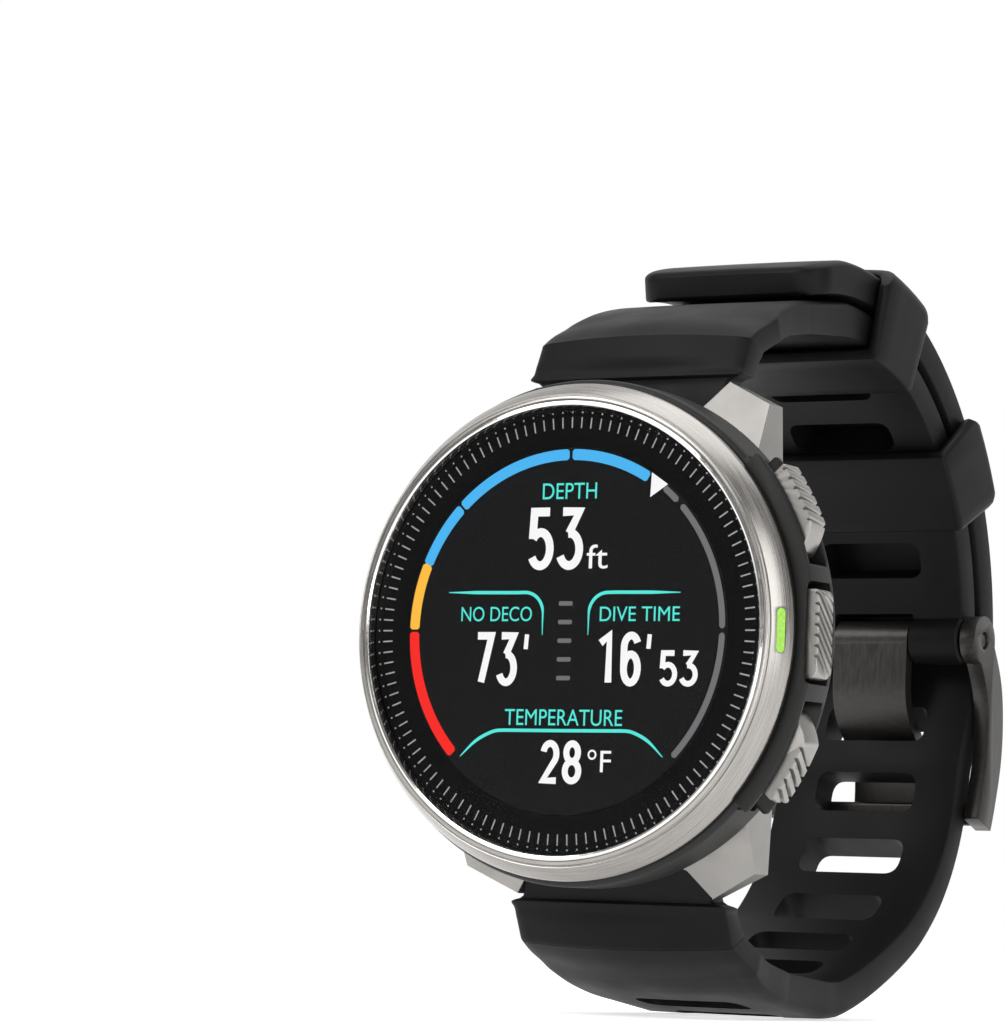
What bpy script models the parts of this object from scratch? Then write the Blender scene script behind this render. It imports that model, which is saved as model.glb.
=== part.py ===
"""A wrist dive computer, buckled, built as separate pieces.

Frame: the origin is the centre of the case back's flat face. The dial faces -Y, 12 o'clock is +Z,
3 o'clock (the buttons) is +X, and the buckled strap loops round behind the case, towards +Y.
All sizes below are in millimetres and are turned into metres where an object is made.
Heights (h) are measured from the case back towards the dial, so a height h lies at y = -h.
"""

import math

import bmesh
import bpy

MM = 0.001
GAP = 0.3                      # clearance between neighbouring pieces

# Case stack: radii and heights
BEZEL_R = 24.75
BEZEL_H0, BEZEL_H1 = 9.9, 13.05
FLANGE_R = 20.9                # inner edge of the bezel's flange over the o-ring
SEAL_R = 21.45                 # middle of the o-ring between the bezel and the case
CRYSTAL_R = 22.0
CRYSTAL_H0, CRYSTAL_H1 = 11.7, 12.9
LIP_R = CRYSTAL_R + GAP
DIAL_H = 11.4                  # top of the display and of the minute ring
DISPLAY_R = 18.3
CASE_R = 25.3
CASE_H1 = BEZEL_H0 - GAP
CAVITY_R = 20.6
LEDGE_R = 16.6
BACK_R = 18.9
BACK_T = 1.1

# Buttons
BUTTON_ANGLE = 29.0            # of the outer two, from 3 o'clock
BUTTON_H0, BUTTON_H1 = 5.9, 8.9
STEM_H = 7.0
STEM_R = 0.7
STEM_END = 18.4                # distance of the stem's inner end from the case axis
BUTTON_TRAVEL = 0.8
POCKET_R = 22.3
GUARD_R = 26.4
LID_H = 9.2                    # underside of the thin lid in front of the buttons
LID_X = 25.4                   # where that lid ends in front of the middle button
OUTER_FACE_R = 27.7            # pressed faces of the outer two, round the case axis
MIDDLE_FACE_X = 26.65

# Lugs and spring bars
LUG_X = 11.2                   # inner face of a lug: a 22 mm strap fits between
LUG_ROOT_R = 21.6
BAR_Z = 22.6
BAR_R = 0.9
TIP_R = 0.45
TIP_END = 12.8

# The bend behind the lugs, where each strap half flexes
BEND_Y, BEND_Z = 3.2, 30.2

# Strap loop: both halves run on arcs about (LOOP_Y, +LOOP_Z) and (LOOP_Y, -LOOP_Z)
LOOP_Y = 27.2
LOOP_Z = 4.0
STRAP_IN_R = 29.8
STRAP_T = 4.0
SHOULDER_T = 3.7               # thickness between the lugs' bend and the arc
TAIL_IN_R = 34.2
TAIL_END = 103.0               # degrees round the upper arc
STRAP_W = 10.8                 # half width along the loop
FLARE_W = 12.6                 # half width just beyond the lugs
SLOT_W = 6.1                   # half length of a strap slot
SLOT_H = 2.0                   # half height of a strap slot
SLOT_FIRST, SLOT_STEP = 17.3, 14.9
SLOTS = 6

# Keepers
KEEPER_W = 12.3
KEEPER_SPAN = 8.4              # half its length, in degrees
KEEPER_ANGLES = {"keeper_front": 73.6, "keeper_back": 33.7}

# Buckle
PIN_Y, PIN_Z = 58.2, 4.1
PIN_R = 0.9
KNUCKLE_R = 2.7
ARM_X0, ARM_X1 = 11.2, 13.0
TONGUE_W = 4.5

STEEL = ("bead_blasted_steel", (0.62, 0.60, 0.57), 1.0, 0.35)
BRUSHED = ("brushed_steel", (0.66, 0.64, 0.61), 1.0, 0.28)
DARK_STEEL = ("dark_steel", (0.10, 0.095, 0.09), 1.0, 0.38)
POLYMER = ("case_polymer", (0.022, 0.021, 0.020), 0.0, 0.55)
SILICONE = ("silicone", (0.020, 0.020, 0.021), 0.0, 0.6)
GLASS = ("crystal_glass", (0.01, 0.01, 0.012), 0.0, 0.03)
DISPLAY = ("display", (0.01, 0.01, 0.012), 0.0, 0.1)
SEAL = ("seal_rubber", (0.015, 0.015, 0.015), 0.0, 0.7)
BOARD = ("circuit_board", (0.02, 0.09, 0.04), 0.0, 0.5)
CELL = ("battery_foil", (0.35, 0.36, 0.38), 0.8, 0.4)
GOLD = ("contact_metal", (0.75, 0.55, 0.25), 1.0, 0.25)
GREEN = ("light_window", (0.30, 0.62, 0.10), 0.0, 0.25)


# ---------------------------------------------------------------- scene and materials

def clear_scene():
    for obj in list(bpy.data.objects):
        bpy.data.objects.remove(obj, do_unlink=True)
    for name in ("dive_computer", "cutters"):
        collection = bpy.data.collections.new(name)
        bpy.context.scene.collection.children.link(collection)


def material(kind):
    name, colour, metallic, roughness = kind
    found = bpy.data.materials.get(name)
    if found:
        return found
    made = bpy.data.materials.new(name)
    made.use_nodes = True
    shader = made.node_tree.nodes["Principled BSDF"]
    shader.inputs["Base Color"].default_value = (*colour, 1.0)
    shader.inputs["Metallic"].default_value = metallic
    shader.inputs["Roughness"].default_value = roughness
    return made


def place(obj, kind):
    """Put an object in the model's collection with its material, or in the cutters'."""
    if kind:
        obj.data.materials.clear()
        obj.data.materials.append(material(kind))
        bpy.data.collections["dive_computer"].objects.link(obj)
    else:
        obj.hide_render = True
        obj.display_type = "WIRE"
        bpy.data.collections["cutters"].objects.link(obj)
    return obj


def smooth(mesh, degrees=35):
    mesh.shade_smooth()
    mesh.set_sharp_from_angle(angle=math.radians(degrees))


# ---------------------------------------------------------------- shape helpers

def mesh_object(name, bm, kind):
    mesh = bpy.data.meshes.new(name)
    bmesh.ops.recalc_face_normals(bm, faces=bm.faces)
    bm.to_mesh(mesh)
    bm.free()
    smooth(mesh)
    return place(bpy.data.objects.new(name, mesh), kind)


def box(name, x, y, z, kind=None, bevel=0.0):
    """A block between x = (x0, x1), y = (y0, y1) and z = (z0, z1)."""
    bm = bmesh.new()
    bmesh.ops.create_cube(bm, size=1.0)
    for vert in bm.verts:
        for i, (low, high) in enumerate((x, y, z)):
            vert.co[i] = (high if vert.co[i] > 0 else low) * MM
    obj = mesh_object(name, bm, kind)
    if bevel:
        add_bevel(obj, bevel)
    return obj


def cylinder(name, radius, start, end, axis, kind=None, steps=32):
    """A round bar from point start to point end along one axis (0 = x, 1 = y, 2 = z)."""
    bm = bmesh.new()
    length = abs(end[axis] - start[axis]) * MM
    bmesh.ops.create_cone(bm, cap_ends=True, segments=steps, radius1=radius * MM,
                          radius2=radius * MM, depth=length)
    obj = mesh_object(name, bm, kind)
    obj.location = [(a + b) / 2 * MM for a, b in zip(start, end)]
    turns = {0: (0, math.pi / 2, 0), 1: (math.pi / 2, 0, 0), 2: (0, 0, 0)}
    obj.rotation_euler = turns[axis]
    return obj


def turned(name, profile, kind=None, steps=72, at=(0.0, 0.0)):
    """A profile of (radius, height) points turned about the case axis, or about x, z = at.

    A profile that starts and ends on the axis makes a solid, any other is closed into a ring.
    """
    mesh = bpy.data.meshes.new(name)
    count = len(profile)
    solid = profile[0][0] == 0 and profile[-1][0] == 0
    edges = [(i, i + 1) for i in range(count - 1)]
    if not solid:
        edges.append((count - 1, 0))
    mesh.from_pydata([(r * MM, 0, h * MM) for r, h in profile], edges, [])
    obj = bpy.data.objects.new(name, mesh)
    obj.rotation_euler = (math.pi / 2, 0, 0)
    obj.location = (at[0] * MM, 0, at[1] * MM)
    screw = obj.modifiers.new("turn", "SCREW")
    screw.steps = steps
    screw.render_steps = steps
    screw.use_merge_vertices = True
    screw.merge_threshold = 0.00001
    return place(obj, kind)


def ring(name, r0, r1, h0, h1, kind=None, steps=64):
    return turned(name, [(r0, h1), (r1, h1), (r1, h0), (r0, h0)], kind, steps)


def disc(name, r, h0, h1, kind=None, steps=64, at=(0.0, 0.0)):
    return turned(name, [(0, h1), (r, h1), (r, h0), (0, h0)], kind, steps, at)


def outline_prism(name, points, half, kind):
    """A flat outline, extruded by half each way along its local z."""
    curve = bpy.data.curves.new(name, "CURVE")
    curve.dimensions = "2D"
    curve.fill_mode = "BOTH"
    curve.extrude = half * MM
    spline = curve.splines.new("POLY")
    spline.points.add(len(points) - 1)
    for point, (a, b) in zip(spline.points, points):
        point.co = (a * MM, b * MM, 0, 1)
    spline.use_cyclic_u = True
    guide = bpy.data.objects.new(name + "_curve", curve)
    bpy.context.scene.collection.objects.link(guide)
    graph = bpy.context.evaluated_depsgraph_get()
    mesh = bpy.data.meshes.new_from_object(guide.evaluated_get(graph))
    bm = bmesh.new()
    bm.from_mesh(mesh)
    bmesh.ops.remove_doubles(bm, verts=bm.verts, dist=1e-7)
    bpy.data.objects.remove(guide, do_unlink=True)
    bpy.data.meshes.remove(mesh)
    return mesh_object(name, bm, kind)


def plan_prism(name, points, h0, h1, kind=None):
    """An outline of (x, z) points seen from the front, between heights h0 and h1."""
    obj = outline_prism(name, points, (h1 - h0) / 2, kind)
    obj.rotation_euler = (math.pi / 2, 0, 0)
    obj.location.y = -(h0 + h1) / 2 * MM
    return obj


def side_prism(name, points, x0, x1, kind=None):
    """An outline of (y, z) points seen from the 3 o'clock side, between x0 and x1."""
    obj = outline_prism(name, points, (x1 - x0) / 2, kind)
    obj.rotation_euler = (math.pi / 2, 0, math.pi / 2)
    obj.location.x = (x0 + x1) / 2 * MM
    return obj


def add_bevel(obj, width, segments=2, degrees=40):
    bevel = obj.modifiers.new("round", "BEVEL")
    bevel.width = width * MM
    bevel.segments = segments
    bevel.limit_method = "ANGLE"
    bevel.angle_limit = math.radians(degrees)


def boolean(obj, tool, operation="DIFFERENCE"):
    mod = obj.modifiers.new(operation.lower(), "BOOLEAN")
    mod.operation = operation
    mod.solver = "EXACT"
    mod.object = tool


def joined(name, objects):
    """Several cutters as one mesh of separate solids, in world places."""
    bm = bmesh.new()
    bpy.context.view_layer.update()
    for obj in objects:
        bm.from_mesh(obj.data)
        fresh = bm.verts[-len(obj.data.vertices):]
        bmesh.ops.transform(bm, matrix=obj.matrix_world, verts=fresh)
        bpy.data.objects.remove(obj, do_unlink=True)
    return mesh_object(name, bm, None)


def carried(name, point, pieces):
    """Parent a moving body's pieces to an empty at point, on its joint's axis."""
    empty = bpy.data.objects.new("joint_" + name, None)
    empty.location = [value * MM for value in point]
    empty.empty_display_size = 0.004
    bpy.data.collections["dive_computer"].objects.link(empty)
    bpy.context.view_layer.update()
    for piece in pieces:
        obj = bpy.data.objects[piece]
        obj.parent = empty
        obj.matrix_parent_inverse = empty.matrix_world.inverted()


def polar(radius, degrees, centre=(0.0, 0.0)):
    angle = math.radians(degrees)
    return (centre[0] + radius * math.cos(angle), centre[1] + radius * math.sin(angle))


def arc(radius, start, end, steps, centre=(0.0, 0.0)):
    return [polar(radius, start + (end - start) * i / steps, centre) for i in range(steps + 1)]


def spline_through(points, steps):
    """A smooth Catmull-Rom curve through the points."""
    ends = [points[0]] + list(points) + [points[-1]]
    out = []
    for a, b, c, d in zip(ends, ends[1:], ends[2:], ends[3:]):
        for i in range(steps):
            t = i / steps
            out.append(tuple(
                0.5 * (2 * q + (r - p) * t + (2 * p - 5 * q + 4 * r - s) * t * t
                       + (3 * q - p - 3 * r + s) * t ** 3)
                for p, q, r, s in zip(a, b, c, d)))
    return out + [tuple(points[-1])]


def loft(name, stations, kind):
    """A strap run: each station is (inner (y, z), outer (y, z), half width)."""
    bm = bmesh.new()
    rows = []
    for inner, outer, half in stations:
        corners = ((half, inner), (half, outer), (-half, outer), (-half, inner))
        rows.append([bm.verts.new((x * MM, y * MM, z * MM)) for x, (y, z) in corners])
    for first, second in zip(rows, rows[1:]):
        for i in range(4):
            j = (i + 1) % 4
            bm.faces.new((first[i], first[j], second[j], second[i]))
    bm.faces.new(rows[0])
    bm.faces.new(rows[-1][::-1])
    return mesh_object(name, bm, kind)


# ---------------------------------------------------------------- the case

def make_bezel():
    profile = [(LIP_R, 12.9), (LIP_R + 0.15, BEZEL_H1), (23.15, BEZEL_H1), (23.25, 12.85),
               (23.4, 12.85), (24.62, 10.9), (BEZEL_R, 10.5), (BEZEL_R, 10.1),
               (24.55, BEZEL_H0), (FLANGE_R, BEZEL_H0), (FLANGE_R, 10.3), (22.2, 10.3),
               (22.2, 11.3), (23.1, 11.3), (23.1, 12.6), (LIP_R, 12.6)]
    bezel = turned("bezel", profile, BRUSHED, 80)
    boolean(bezel, box("cut_light_slot", (23.5, 26.0), (-12.4, -11.0), (-2.3, 2.3)))
    box("light_window", (23.8, 24.2), (-12.1, -11.3), (-2.0, 2.0), GREEN, 0.1)


def make_front_stack():
    edge = 0.35
    turned("crystal", [(0, CRYSTAL_H1), (CRYSTAL_R - edge, CRYSTAL_H1),
                       (CRYSTAL_R, CRYSTAL_H1 - edge), (CRYSTAL_R, CRYSTAL_H0),
                       (0, CRYSTAL_H0)], GLASS, 80)
    ring("crystal_gasket", LIP_R, 22.8, 11.6, 12.3, SEAL)
    ring("minute_ring", DISPLAY_R + GAP, 21.9, 10.6, DIAL_H, POLYMER)
    disc("display_panel", DISPLAY_R, 10.4, DIAL_H, DISPLAY)
    disc("display_carrier", 20.3, 9.2, 10.1, POLYMER)
    seal = [polar(0.2, 360 - 45 * i, (SEAL_R, 9.5)) for i in range(8)]
    turned("bezel_seal", seal, SEAL, 64)


def sector(r0, r1, a0, a1, steps=8):
    return arc(r0, a0, a1, steps) + arc(r1, a1, a0, steps)


def lug_outline(grow=0.0):
    """Plan outline of the upper right lug, grown by a clearance for its pocket."""
    return [(LUG_X - grow, 16.8 - grow), (16.85 + grow, 16.8 - grow), (16.6 + grow, 23.3 + grow),
            (LUG_X - grow, 25.9 + grow)]


def lug_slope(name, lift, side, top):
    """A wedge in front of the lug's sloping face, moved forward by lift."""
    points = [(-20.0, 16.0), (-5.11 - lift, 16.0), (0.5 - lift, 27.0), (-20.0, 27.0)]
    x0, x1 = sorted((side * 8.0, side * 22.0))
    return side_prism(name, [(y, z * top) for y, z in points][::top], x0, x1)


def make_case_body():
    profile = [(CAVITY_R, CASE_H1), (SEAL_R - 0.4, CASE_H1), (SEAL_R - 0.4, 9.25),
               (SEAL_R + 0.4, 9.25), (SEAL_R + 0.4, CASE_H1),
               (24.9, CASE_H1), (CASE_R, 9.2), (CASE_R, 4.6), (23.6, 1.2), (22.9, 0.5),
               (BACK_R + GAP, 0.5), (BACK_R + GAP, 2.05), (LEDGE_R, 2.05), (LEDGE_R, 4.6),
               (CAVITY_R, 4.6)]
    body = turned("case_body", profile, POLYMER, 80)
    boolean(body, plan_prism("join_guard", sector(24.3, GUARD_R, -42, 42, 16), 4.8, CASE_H1), "UNION")
    cutters = [box("cut_strap_%d" % top, (-18.6, 18.6), (-2.8, 2.0),
                   tuple(sorted((19.95 * top, 28.0 * top)))) for top in (1, -1)]
    cutters.append(box("cut_middle", (POCKET_R + 0.9, 29.0), (-LID_H, -5.5), (-5.0, 5.0)))
    for top in (1, -1):
        pocket = sector(POCKET_R, 30.0, top * 14.6, top * 43.0)[::top]
        cutters.append(plan_prism("cut_pocket_%d" % top, pocket, 5.5, LID_H))
    boolean(body, joined("cut_case_pockets", cutters))
    boolean(body, box("cut_middle_lid", (LID_X, 29.0), (-9.8, -5.5), (-5.0, 5.0)))
    bores = []
    for degrees in (-BUTTON_ANGLE, 0.0, BUTTON_ANGLE):
        bore = cylinder("bore", 2.0, (17.5, 0, 0), (26.0, 0, 0), 0, None, 32)
        bores.append(turned_about_case(bore, degrees, 21.75))
    boolean(body, joined("cut_button_bores", bores))
    for side in (1, -1):
        for top in (1, -1):
            points = [(x * side, z * top) for x, z in lug_outline(GAP)][::side * top]
            name = "cut_lug_%s%s" % ("r" if side > 0 else "l", "u" if top > 0 else "d")
            pocket = plan_prism(name, points, -2.0, 8.0)
            boolean(pocket, lug_slope(name + "_slope", GAP, side, top))
            boolean(pocket, disc(name + "_core", LUG_ROOT_R - GAP, -3.0, 9.0))
            boolean(body, pocket)
    return body


def turned_about_case(obj, degrees, distance, height=STEM_H):
    """Set a radial piece, made along +X, at an angle round the case."""
    angle = math.radians(degrees)
    x, z = polar(distance, degrees)
    obj.rotation_euler = (0, math.pi / 2 - angle, 0)
    obj.location = (x * MM, -height * MM, z * MM)
    return obj


def make_lugs():
    for side, across in ((1, "right"), (-1, "left")):
        for top, height in ((1, "upper"), (-1, "lower")):
            name = "lug_%s_%s" % (height, across)
            points = [(x * side, z * top) for x, z in lug_outline()][::side * top]
            lug = plan_prism(name, points, -1.4, 6.0, STEEL)
            boolean(lug, lug_slope("cut_%s_slope" % name, 0.0, side, top))
            boolean(lug, disc("cut_%s_core" % name, LUG_ROOT_R, -3.0, 9.0))
            hole = sorted((side * 10.0, side * 13.1))
            boolean(lug, cylinder("cut_%s_hole" % name, TIP_R + GAP, (hole[0], 0, top * BAR_Z),
                                  (hole[1], 0, top * BAR_Z), 0, None, 20))


def make_back():
    back = turned("case_back", [(0, BACK_T), (BACK_R, BACK_T), (BACK_R, 0.4), (BACK_R - 0.4, 0),
                                (0, 0)], BRUSHED)
    holes = [cylinder("hole", 1.1, (x, -3, 9.0), (x, 3, 9.0), 1, None, 20)
             for x in contact_places()]
    holes.append(cylinder("hole", 2.4, (0, -3, -13.0), (0, 3, -13.0), 1, None, 32))
    for x, z in screw_places():
        holes.append(cylinder("hole", 1.35, (x, -3, z), (x, 3, z), 1, None, 20))
    boolean(back, joined("cut_back_holes", holes))
    ring("case_back_seal", 18.3, 18.8, 1.4, 1.75, SEAL)
    disc("pressure_port_cover", 2.1, 0.2, 0.9, BRUSHED, 32, (0.0, -13.0))
    disc("pressure_sensor", 2.0, 1.4, 5.0, STEEL, 32, (0.0, -13.0))
    for i, x in enumerate(contact_places(), 1):
        cylinder("charging_contact_%d" % i, 0.8, (x, -1.0, 9.0), (x, -0.1, 9.0), 1, GOLD, 20)
    for i, (x, z) in enumerate(screw_places(), 1):
        cylinder("case_back_screw_%d" % i, 1.05, (x, -1.7, z), (x, -0.15, z), 1, STEEL, 20)


def contact_places():
    return [-4.5, -1.5, 1.5, 4.5]


def screw_places():
    return [polar(17.2, degrees) for degrees in (40, 140, 220, 320)]


def make_insides():
    disc("main_board", 17.6, 7.9, 8.8, BOARD)
    box("battery", (-12.0, 12.0), (-6.0, -2.4), (-10.0, 10.0), CELL, 0.6)
    disc("vibration_motor", 3.0, 4.9, 7.4, STEEL, 32, (-16.8, 0.0))
    box("antenna", (-7.0, 7.0), (-7.4, -6.3), (12.2, 15.0), GOLD, 0.2)


# ---------------------------------------------------------------- buttons

def outer_button_outline(top):
    """In plan: a face round the case axis, then a ramp down towards 3 o'clock."""
    points = [(22.7, 7.3), (24.35, 7.5)] + arc(OUTER_FACE_R, 22.5, 37.0, 6) + [(19.6, 14.2)]
    return [(x, z * top) for x, z in points][::top]


def make_button(name, degrees):
    if degrees == 0:
        cap = box(name, (24.3, MIDDLE_FACE_X), (-BUTTON_H1, -BUTTON_H0), (-4.5, 4.5), STEEL)
    else:
        top = 1 if degrees > 0 else -1
        cap = plan_prism(name, outer_button_outline(top), BUTTON_H0, BUTTON_H1, STEEL)
    stem = cylinder("join_%s_stem" % name, STEM_R, (STEM_END, 0, 0), (25.0, 0, 0), 0, None, 24)
    boolean(cap, turned_about_case(stem, degrees, (STEM_END + 25.0) / 2), "UNION")
    shapes = (("seal", 0.95, 1.15, 20.2, 20.9, SEAL), ("bushing", 1.4, 1.75, 19.2, 22.0, BRUSHED))
    for part, r0, r1, near, far, kind in shapes:
        tube = turned("%s_%s" % (name, part), [(r0, far), (r1, far), (r1, near), (r0, near)],
                      kind, 24)
        angle = math.radians(degrees)
        tube.rotation_euler = (0, math.pi / 2 - angle, 0)
        tube.location = (0, -STEM_H * MM, 0)
    near, far = 16.1, STEM_END - BUTTON_TRAVEL - 0.2
    switch = box("%s_switch" % name, (near, far), (-0.6, 0.6), (-1.6, 1.6), BOARD)
    angle = math.radians(degrees)
    switch.rotation_euler = (0, -angle, 0)
    switch.location = (0, -STEM_H * MM, 0)


# ---------------------------------------------------------------- strap

def root_stations(top):
    """From the spring bar to the bend behind the lugs."""
    rows = [((1.2, 20.5), (-1.0, 20.5), 10.9), ((2.2, 21.3), (-2.0, 21.3), 10.9),
            ((2.4, 22.6), (-2.2, 22.6), 10.9), ((2.7, 24.2), (-1.7, 24.2), 10.9),
            ((3.2, 26.2), (-0.3, 26.2), 10.9), ((3.6, 26.9), (0.1, 26.9), FLARE_W),
            ((4.2, 28.0), (0.3, 28.9), FLARE_W), ((5.1, 29.0), (1.1, 30.9), FLARE_W)]
    return [((a, b * top), (c, d * top), w) for (a, b), (c, d), w in rows]


def with_outer(path, widths, thickness):
    """Stations along an inner path, with the outer face a thickness to the path's left."""
    rows = []
    for i, ((y, z), half) in enumerate(zip(path, widths)):
        before, after = path[max(i - 1, 0)], path[min(i + 1, len(path) - 1)]
        dy, dz = after[0] - before[0], after[1] - before[1]
        size = math.hypot(dy, dz)
        rows.append(((y, z), (y - dz / size * thickness, z + dy / size * thickness), half))
    return rows


def shoulder_stations():
    """From the bend to the start of the arc, on the upper side of the loop."""
    path = spline_through([(8.2, 30.7), (11.6, 31.9), (18.0, 33.0)], 3)
    widths = [FLARE_W - 0.25 * max(0, i - 1) for i in range(len(path))]
    start = [((5.35, 29.4), (1.35, 31.4), FLARE_W), ((6.6, 30.0), (3.6, 32.9), FLARE_W)]
    return start + with_outer(path, widths, SHOULDER_T)


def make_strap_short():
    loft("strap_short_root", root_stations(1), SILICONE)
    centre = (LOOP_Y, LOOP_Z)
    path = arc(STRAP_IN_R, 92, 2, 24, centre)
    widths = [max(STRAP_W, 11.0 - 0.1 * i) for i in range(len(path))]
    strap = loft("strap_short", shoulder_stations() + with_outer(path, widths, STRAP_T), SILICONE)
    knuckle = cylinder("join_knuckle", KNUCKLE_R, (-STRAP_W, PIN_Y, PIN_Z), (STRAP_W, PIN_Y, PIN_Z),
                       0, None, 32)
    boolean(strap, knuckle, "UNION")
    boolean(strap, cylinder("cut_knuckle_bore", PIN_R + GAP, (-14, PIN_Y, PIN_Z),
                            (14, PIN_Y, PIN_Z), 0, None, 24))
    hub_room = (-TONGUE_W - 0.4, TONGUE_W + 0.4)
    boolean(strap, box("cut_hub_room", hub_room, (50.0, 66.0), (0.0, 7.0)))
    boolean(strap, slot_cutter("cut_short_slots", STRAP_IN_R, 1, range(5)))


def slot_cutter(name, radius, top, numbers):
    """Blocks through the strap, one for each numbered slot of an arc."""
    blocks = []
    for number in numbers:
        degrees = SLOT_FIRST + SLOT_STEP * number
        block = box("slot", (-SLOT_W, SLOT_W), (-6.0, 6.0), (-SLOT_H, SLOT_H))
        y, z = polar(radius + STRAP_T / 2, degrees)
        block.rotation_euler = (math.radians(degrees) * top, 0, 0)
        block.location = (0, (LOOP_Y + y) * MM, (LOOP_Z + z) * top * MM)
        blocks.append(block)
    return joined(name, blocks)


def blend_path(start, start_dir, end, end_dir, reach, steps):
    """Hermite curve between two ends, without its end points."""
    out = []
    for i in range(1, steps):
        t = i / steps
        a, b = 2 * t ** 3 - 3 * t ** 2 + 1, t ** 3 - 2 * t ** 2 + t
        c, d = -2 * t ** 3 + 3 * t ** 2, t ** 3 - t ** 2
        out.append(tuple(a * p + b * reach * u + c * q + d * reach * v
                         for p, u, q, v in zip(start, start_dir, end, end_dir)))
    return out


def tongue_slot():
    """The slot that the tongue is in, cut along the tongue's own slant."""
    block = box("cut_tongue_slot", (-SLOT_W, SLOT_W), (-8.0, 8.0), (-2.0, 2.0))
    block.rotation_euler = (math.radians(-39), 0, 0)
    block.location = (0, 60.0 * MM, -6.7 * MM)
    return block


def make_strap_long():
    loft("strap_long_root", root_stations(-1), SILICONE)
    shoulder = [((y0, -z0), (y1, -z1), w) for (y0, z0), (y1, z1), w in shoulder_stations()]
    leave, meet = -12.0, 2.0
    low = arc(STRAP_IN_R, -92, leave, 22, (LOOP_Y, -LOOP_Z))
    high = arc(TAIL_IN_R, meet, TAIL_END, 28, (LOOP_Y, LOOP_Z))
    between = blend_path(low[-1], polar(1, 90 + leave), high[0], polar(1, 90 + meet), 11.0, 8)
    path = low + between + high
    widths = [max(STRAP_W, 11.0 - 0.1 * i) for i in range(len(path))]
    outer = with_outer(path, widths, -STRAP_T)
    strap = loft("strap_long", shoulder + outer, SILICONE)
    boolean(strap, slot_cutter("cut_long_slots", STRAP_IN_R, -1, range(SLOTS)))
    boolean(strap, tongue_slot())


def make_keeper(name, degrees):
    centre = (LOOP_Y, LOOP_Z)
    a0, a1 = degrees - KEEPER_SPAN, degrees + KEEPER_SPAN
    outer = [polar(r, a, centre) for r, a in sector_polar(28.1, 40.0, a0, a1)]
    inner = [polar(r, a, centre) for r, a in sector_polar(29.45, 38.6, a0 - 2, a1 + 2)]
    keeper = side_prism(name, outer, -KEEPER_W, KEEPER_W, SILICONE)
    boolean(keeper, side_prism("cut_" + name, inner, -STRAP_W - 0.4, STRAP_W + 0.4))
    return keeper


def sector_polar(r0, r1, a0, a1, steps=6):
    angles = [a0 + (a1 - a0) * i / steps for i in range(steps + 1)]
    return [(r0, a) for a in angles] + [(r1, a) for a in reversed(angles)]


# ---------------------------------------------------------------- spring bars and buckle

def make_spring_bar(name, top):
    z = top * BAR_Z
    bar = cylinder("spring_bar_" + name, BAR_R, (-10.6, 0, z), (10.6, 0, z), 0, BRUSHED, 24)
    boolean(bar, cylinder("join_bar_tip_" + name, TIP_R, (-TIP_END, 0, z), (-10.0, 0, z), 0,
                          None, 16), "UNION")
    cutters = [cylinder("bore", 0.7, (4.0, 0, z), (12.0, 0, z), 0, None, 20)]
    boolean(bar, joined("cut_bar_bore_" + name, cutters))
    boolean(bar, box("cut_bar_slot_" + name, (4.6, 8.8), (0.0, 2.0), (z - 0.65, z + 0.65)))
    tip = cylinder("release_lever_" + name, TIP_R, (7.2, 0, z), (TIP_END, 0, z), 0, BRUSHED, 16)
    lever = cylinder("join_lever_" + name, 0.35, (7.9, 0.0, z), (7.9, 3.1, z), 1, None, 16)
    boolean(tip, lever, "UNION")
    root = bpy.data.objects["strap_short_root" if top > 0 else "strap_long_root"]
    boolean(root, cylinder("cut_root_bore_" + name, BAR_R + GAP, (-14, 0, z), (14, 0, z), 0,
                           None, 24))
    boolean(root, box("cut_lever_room_" + name, (5.0, 9.4), (0.0, 5.0), (z - 1.2, z + 1.2)))


def ribbon(centre_line, widths):
    """Closed outline of a bar whose centre line and half thicknesses are given."""
    left, right = [], []
    for i, ((y, z), half) in enumerate(zip(centre_line, widths)):
        before = centre_line[max(i - 1, 0)]
        after = centre_line[min(i + 1, len(centre_line) - 1)]
        dy, dz = after[0] - before[0], after[1] - before[1]
        size = math.hypot(dy, dz)
        left.append((y - dz / size * half, z + dy / size * half))
        right.append((y + dz / size * half, z - dy / size * half))
    return left + right[::-1]


def arm_outline():
    line = spline_through([(PIN_Y, PIN_Z), (60.9, -0.5), (61.7, -4.6), (61.5, -9.0), (60.3, -13.6),
                           (59.4, -16.2)], 3)
    widths = [1.95 - 0.0125 * i for i in range(len(line))]
    return ribbon(line, widths)


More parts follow.
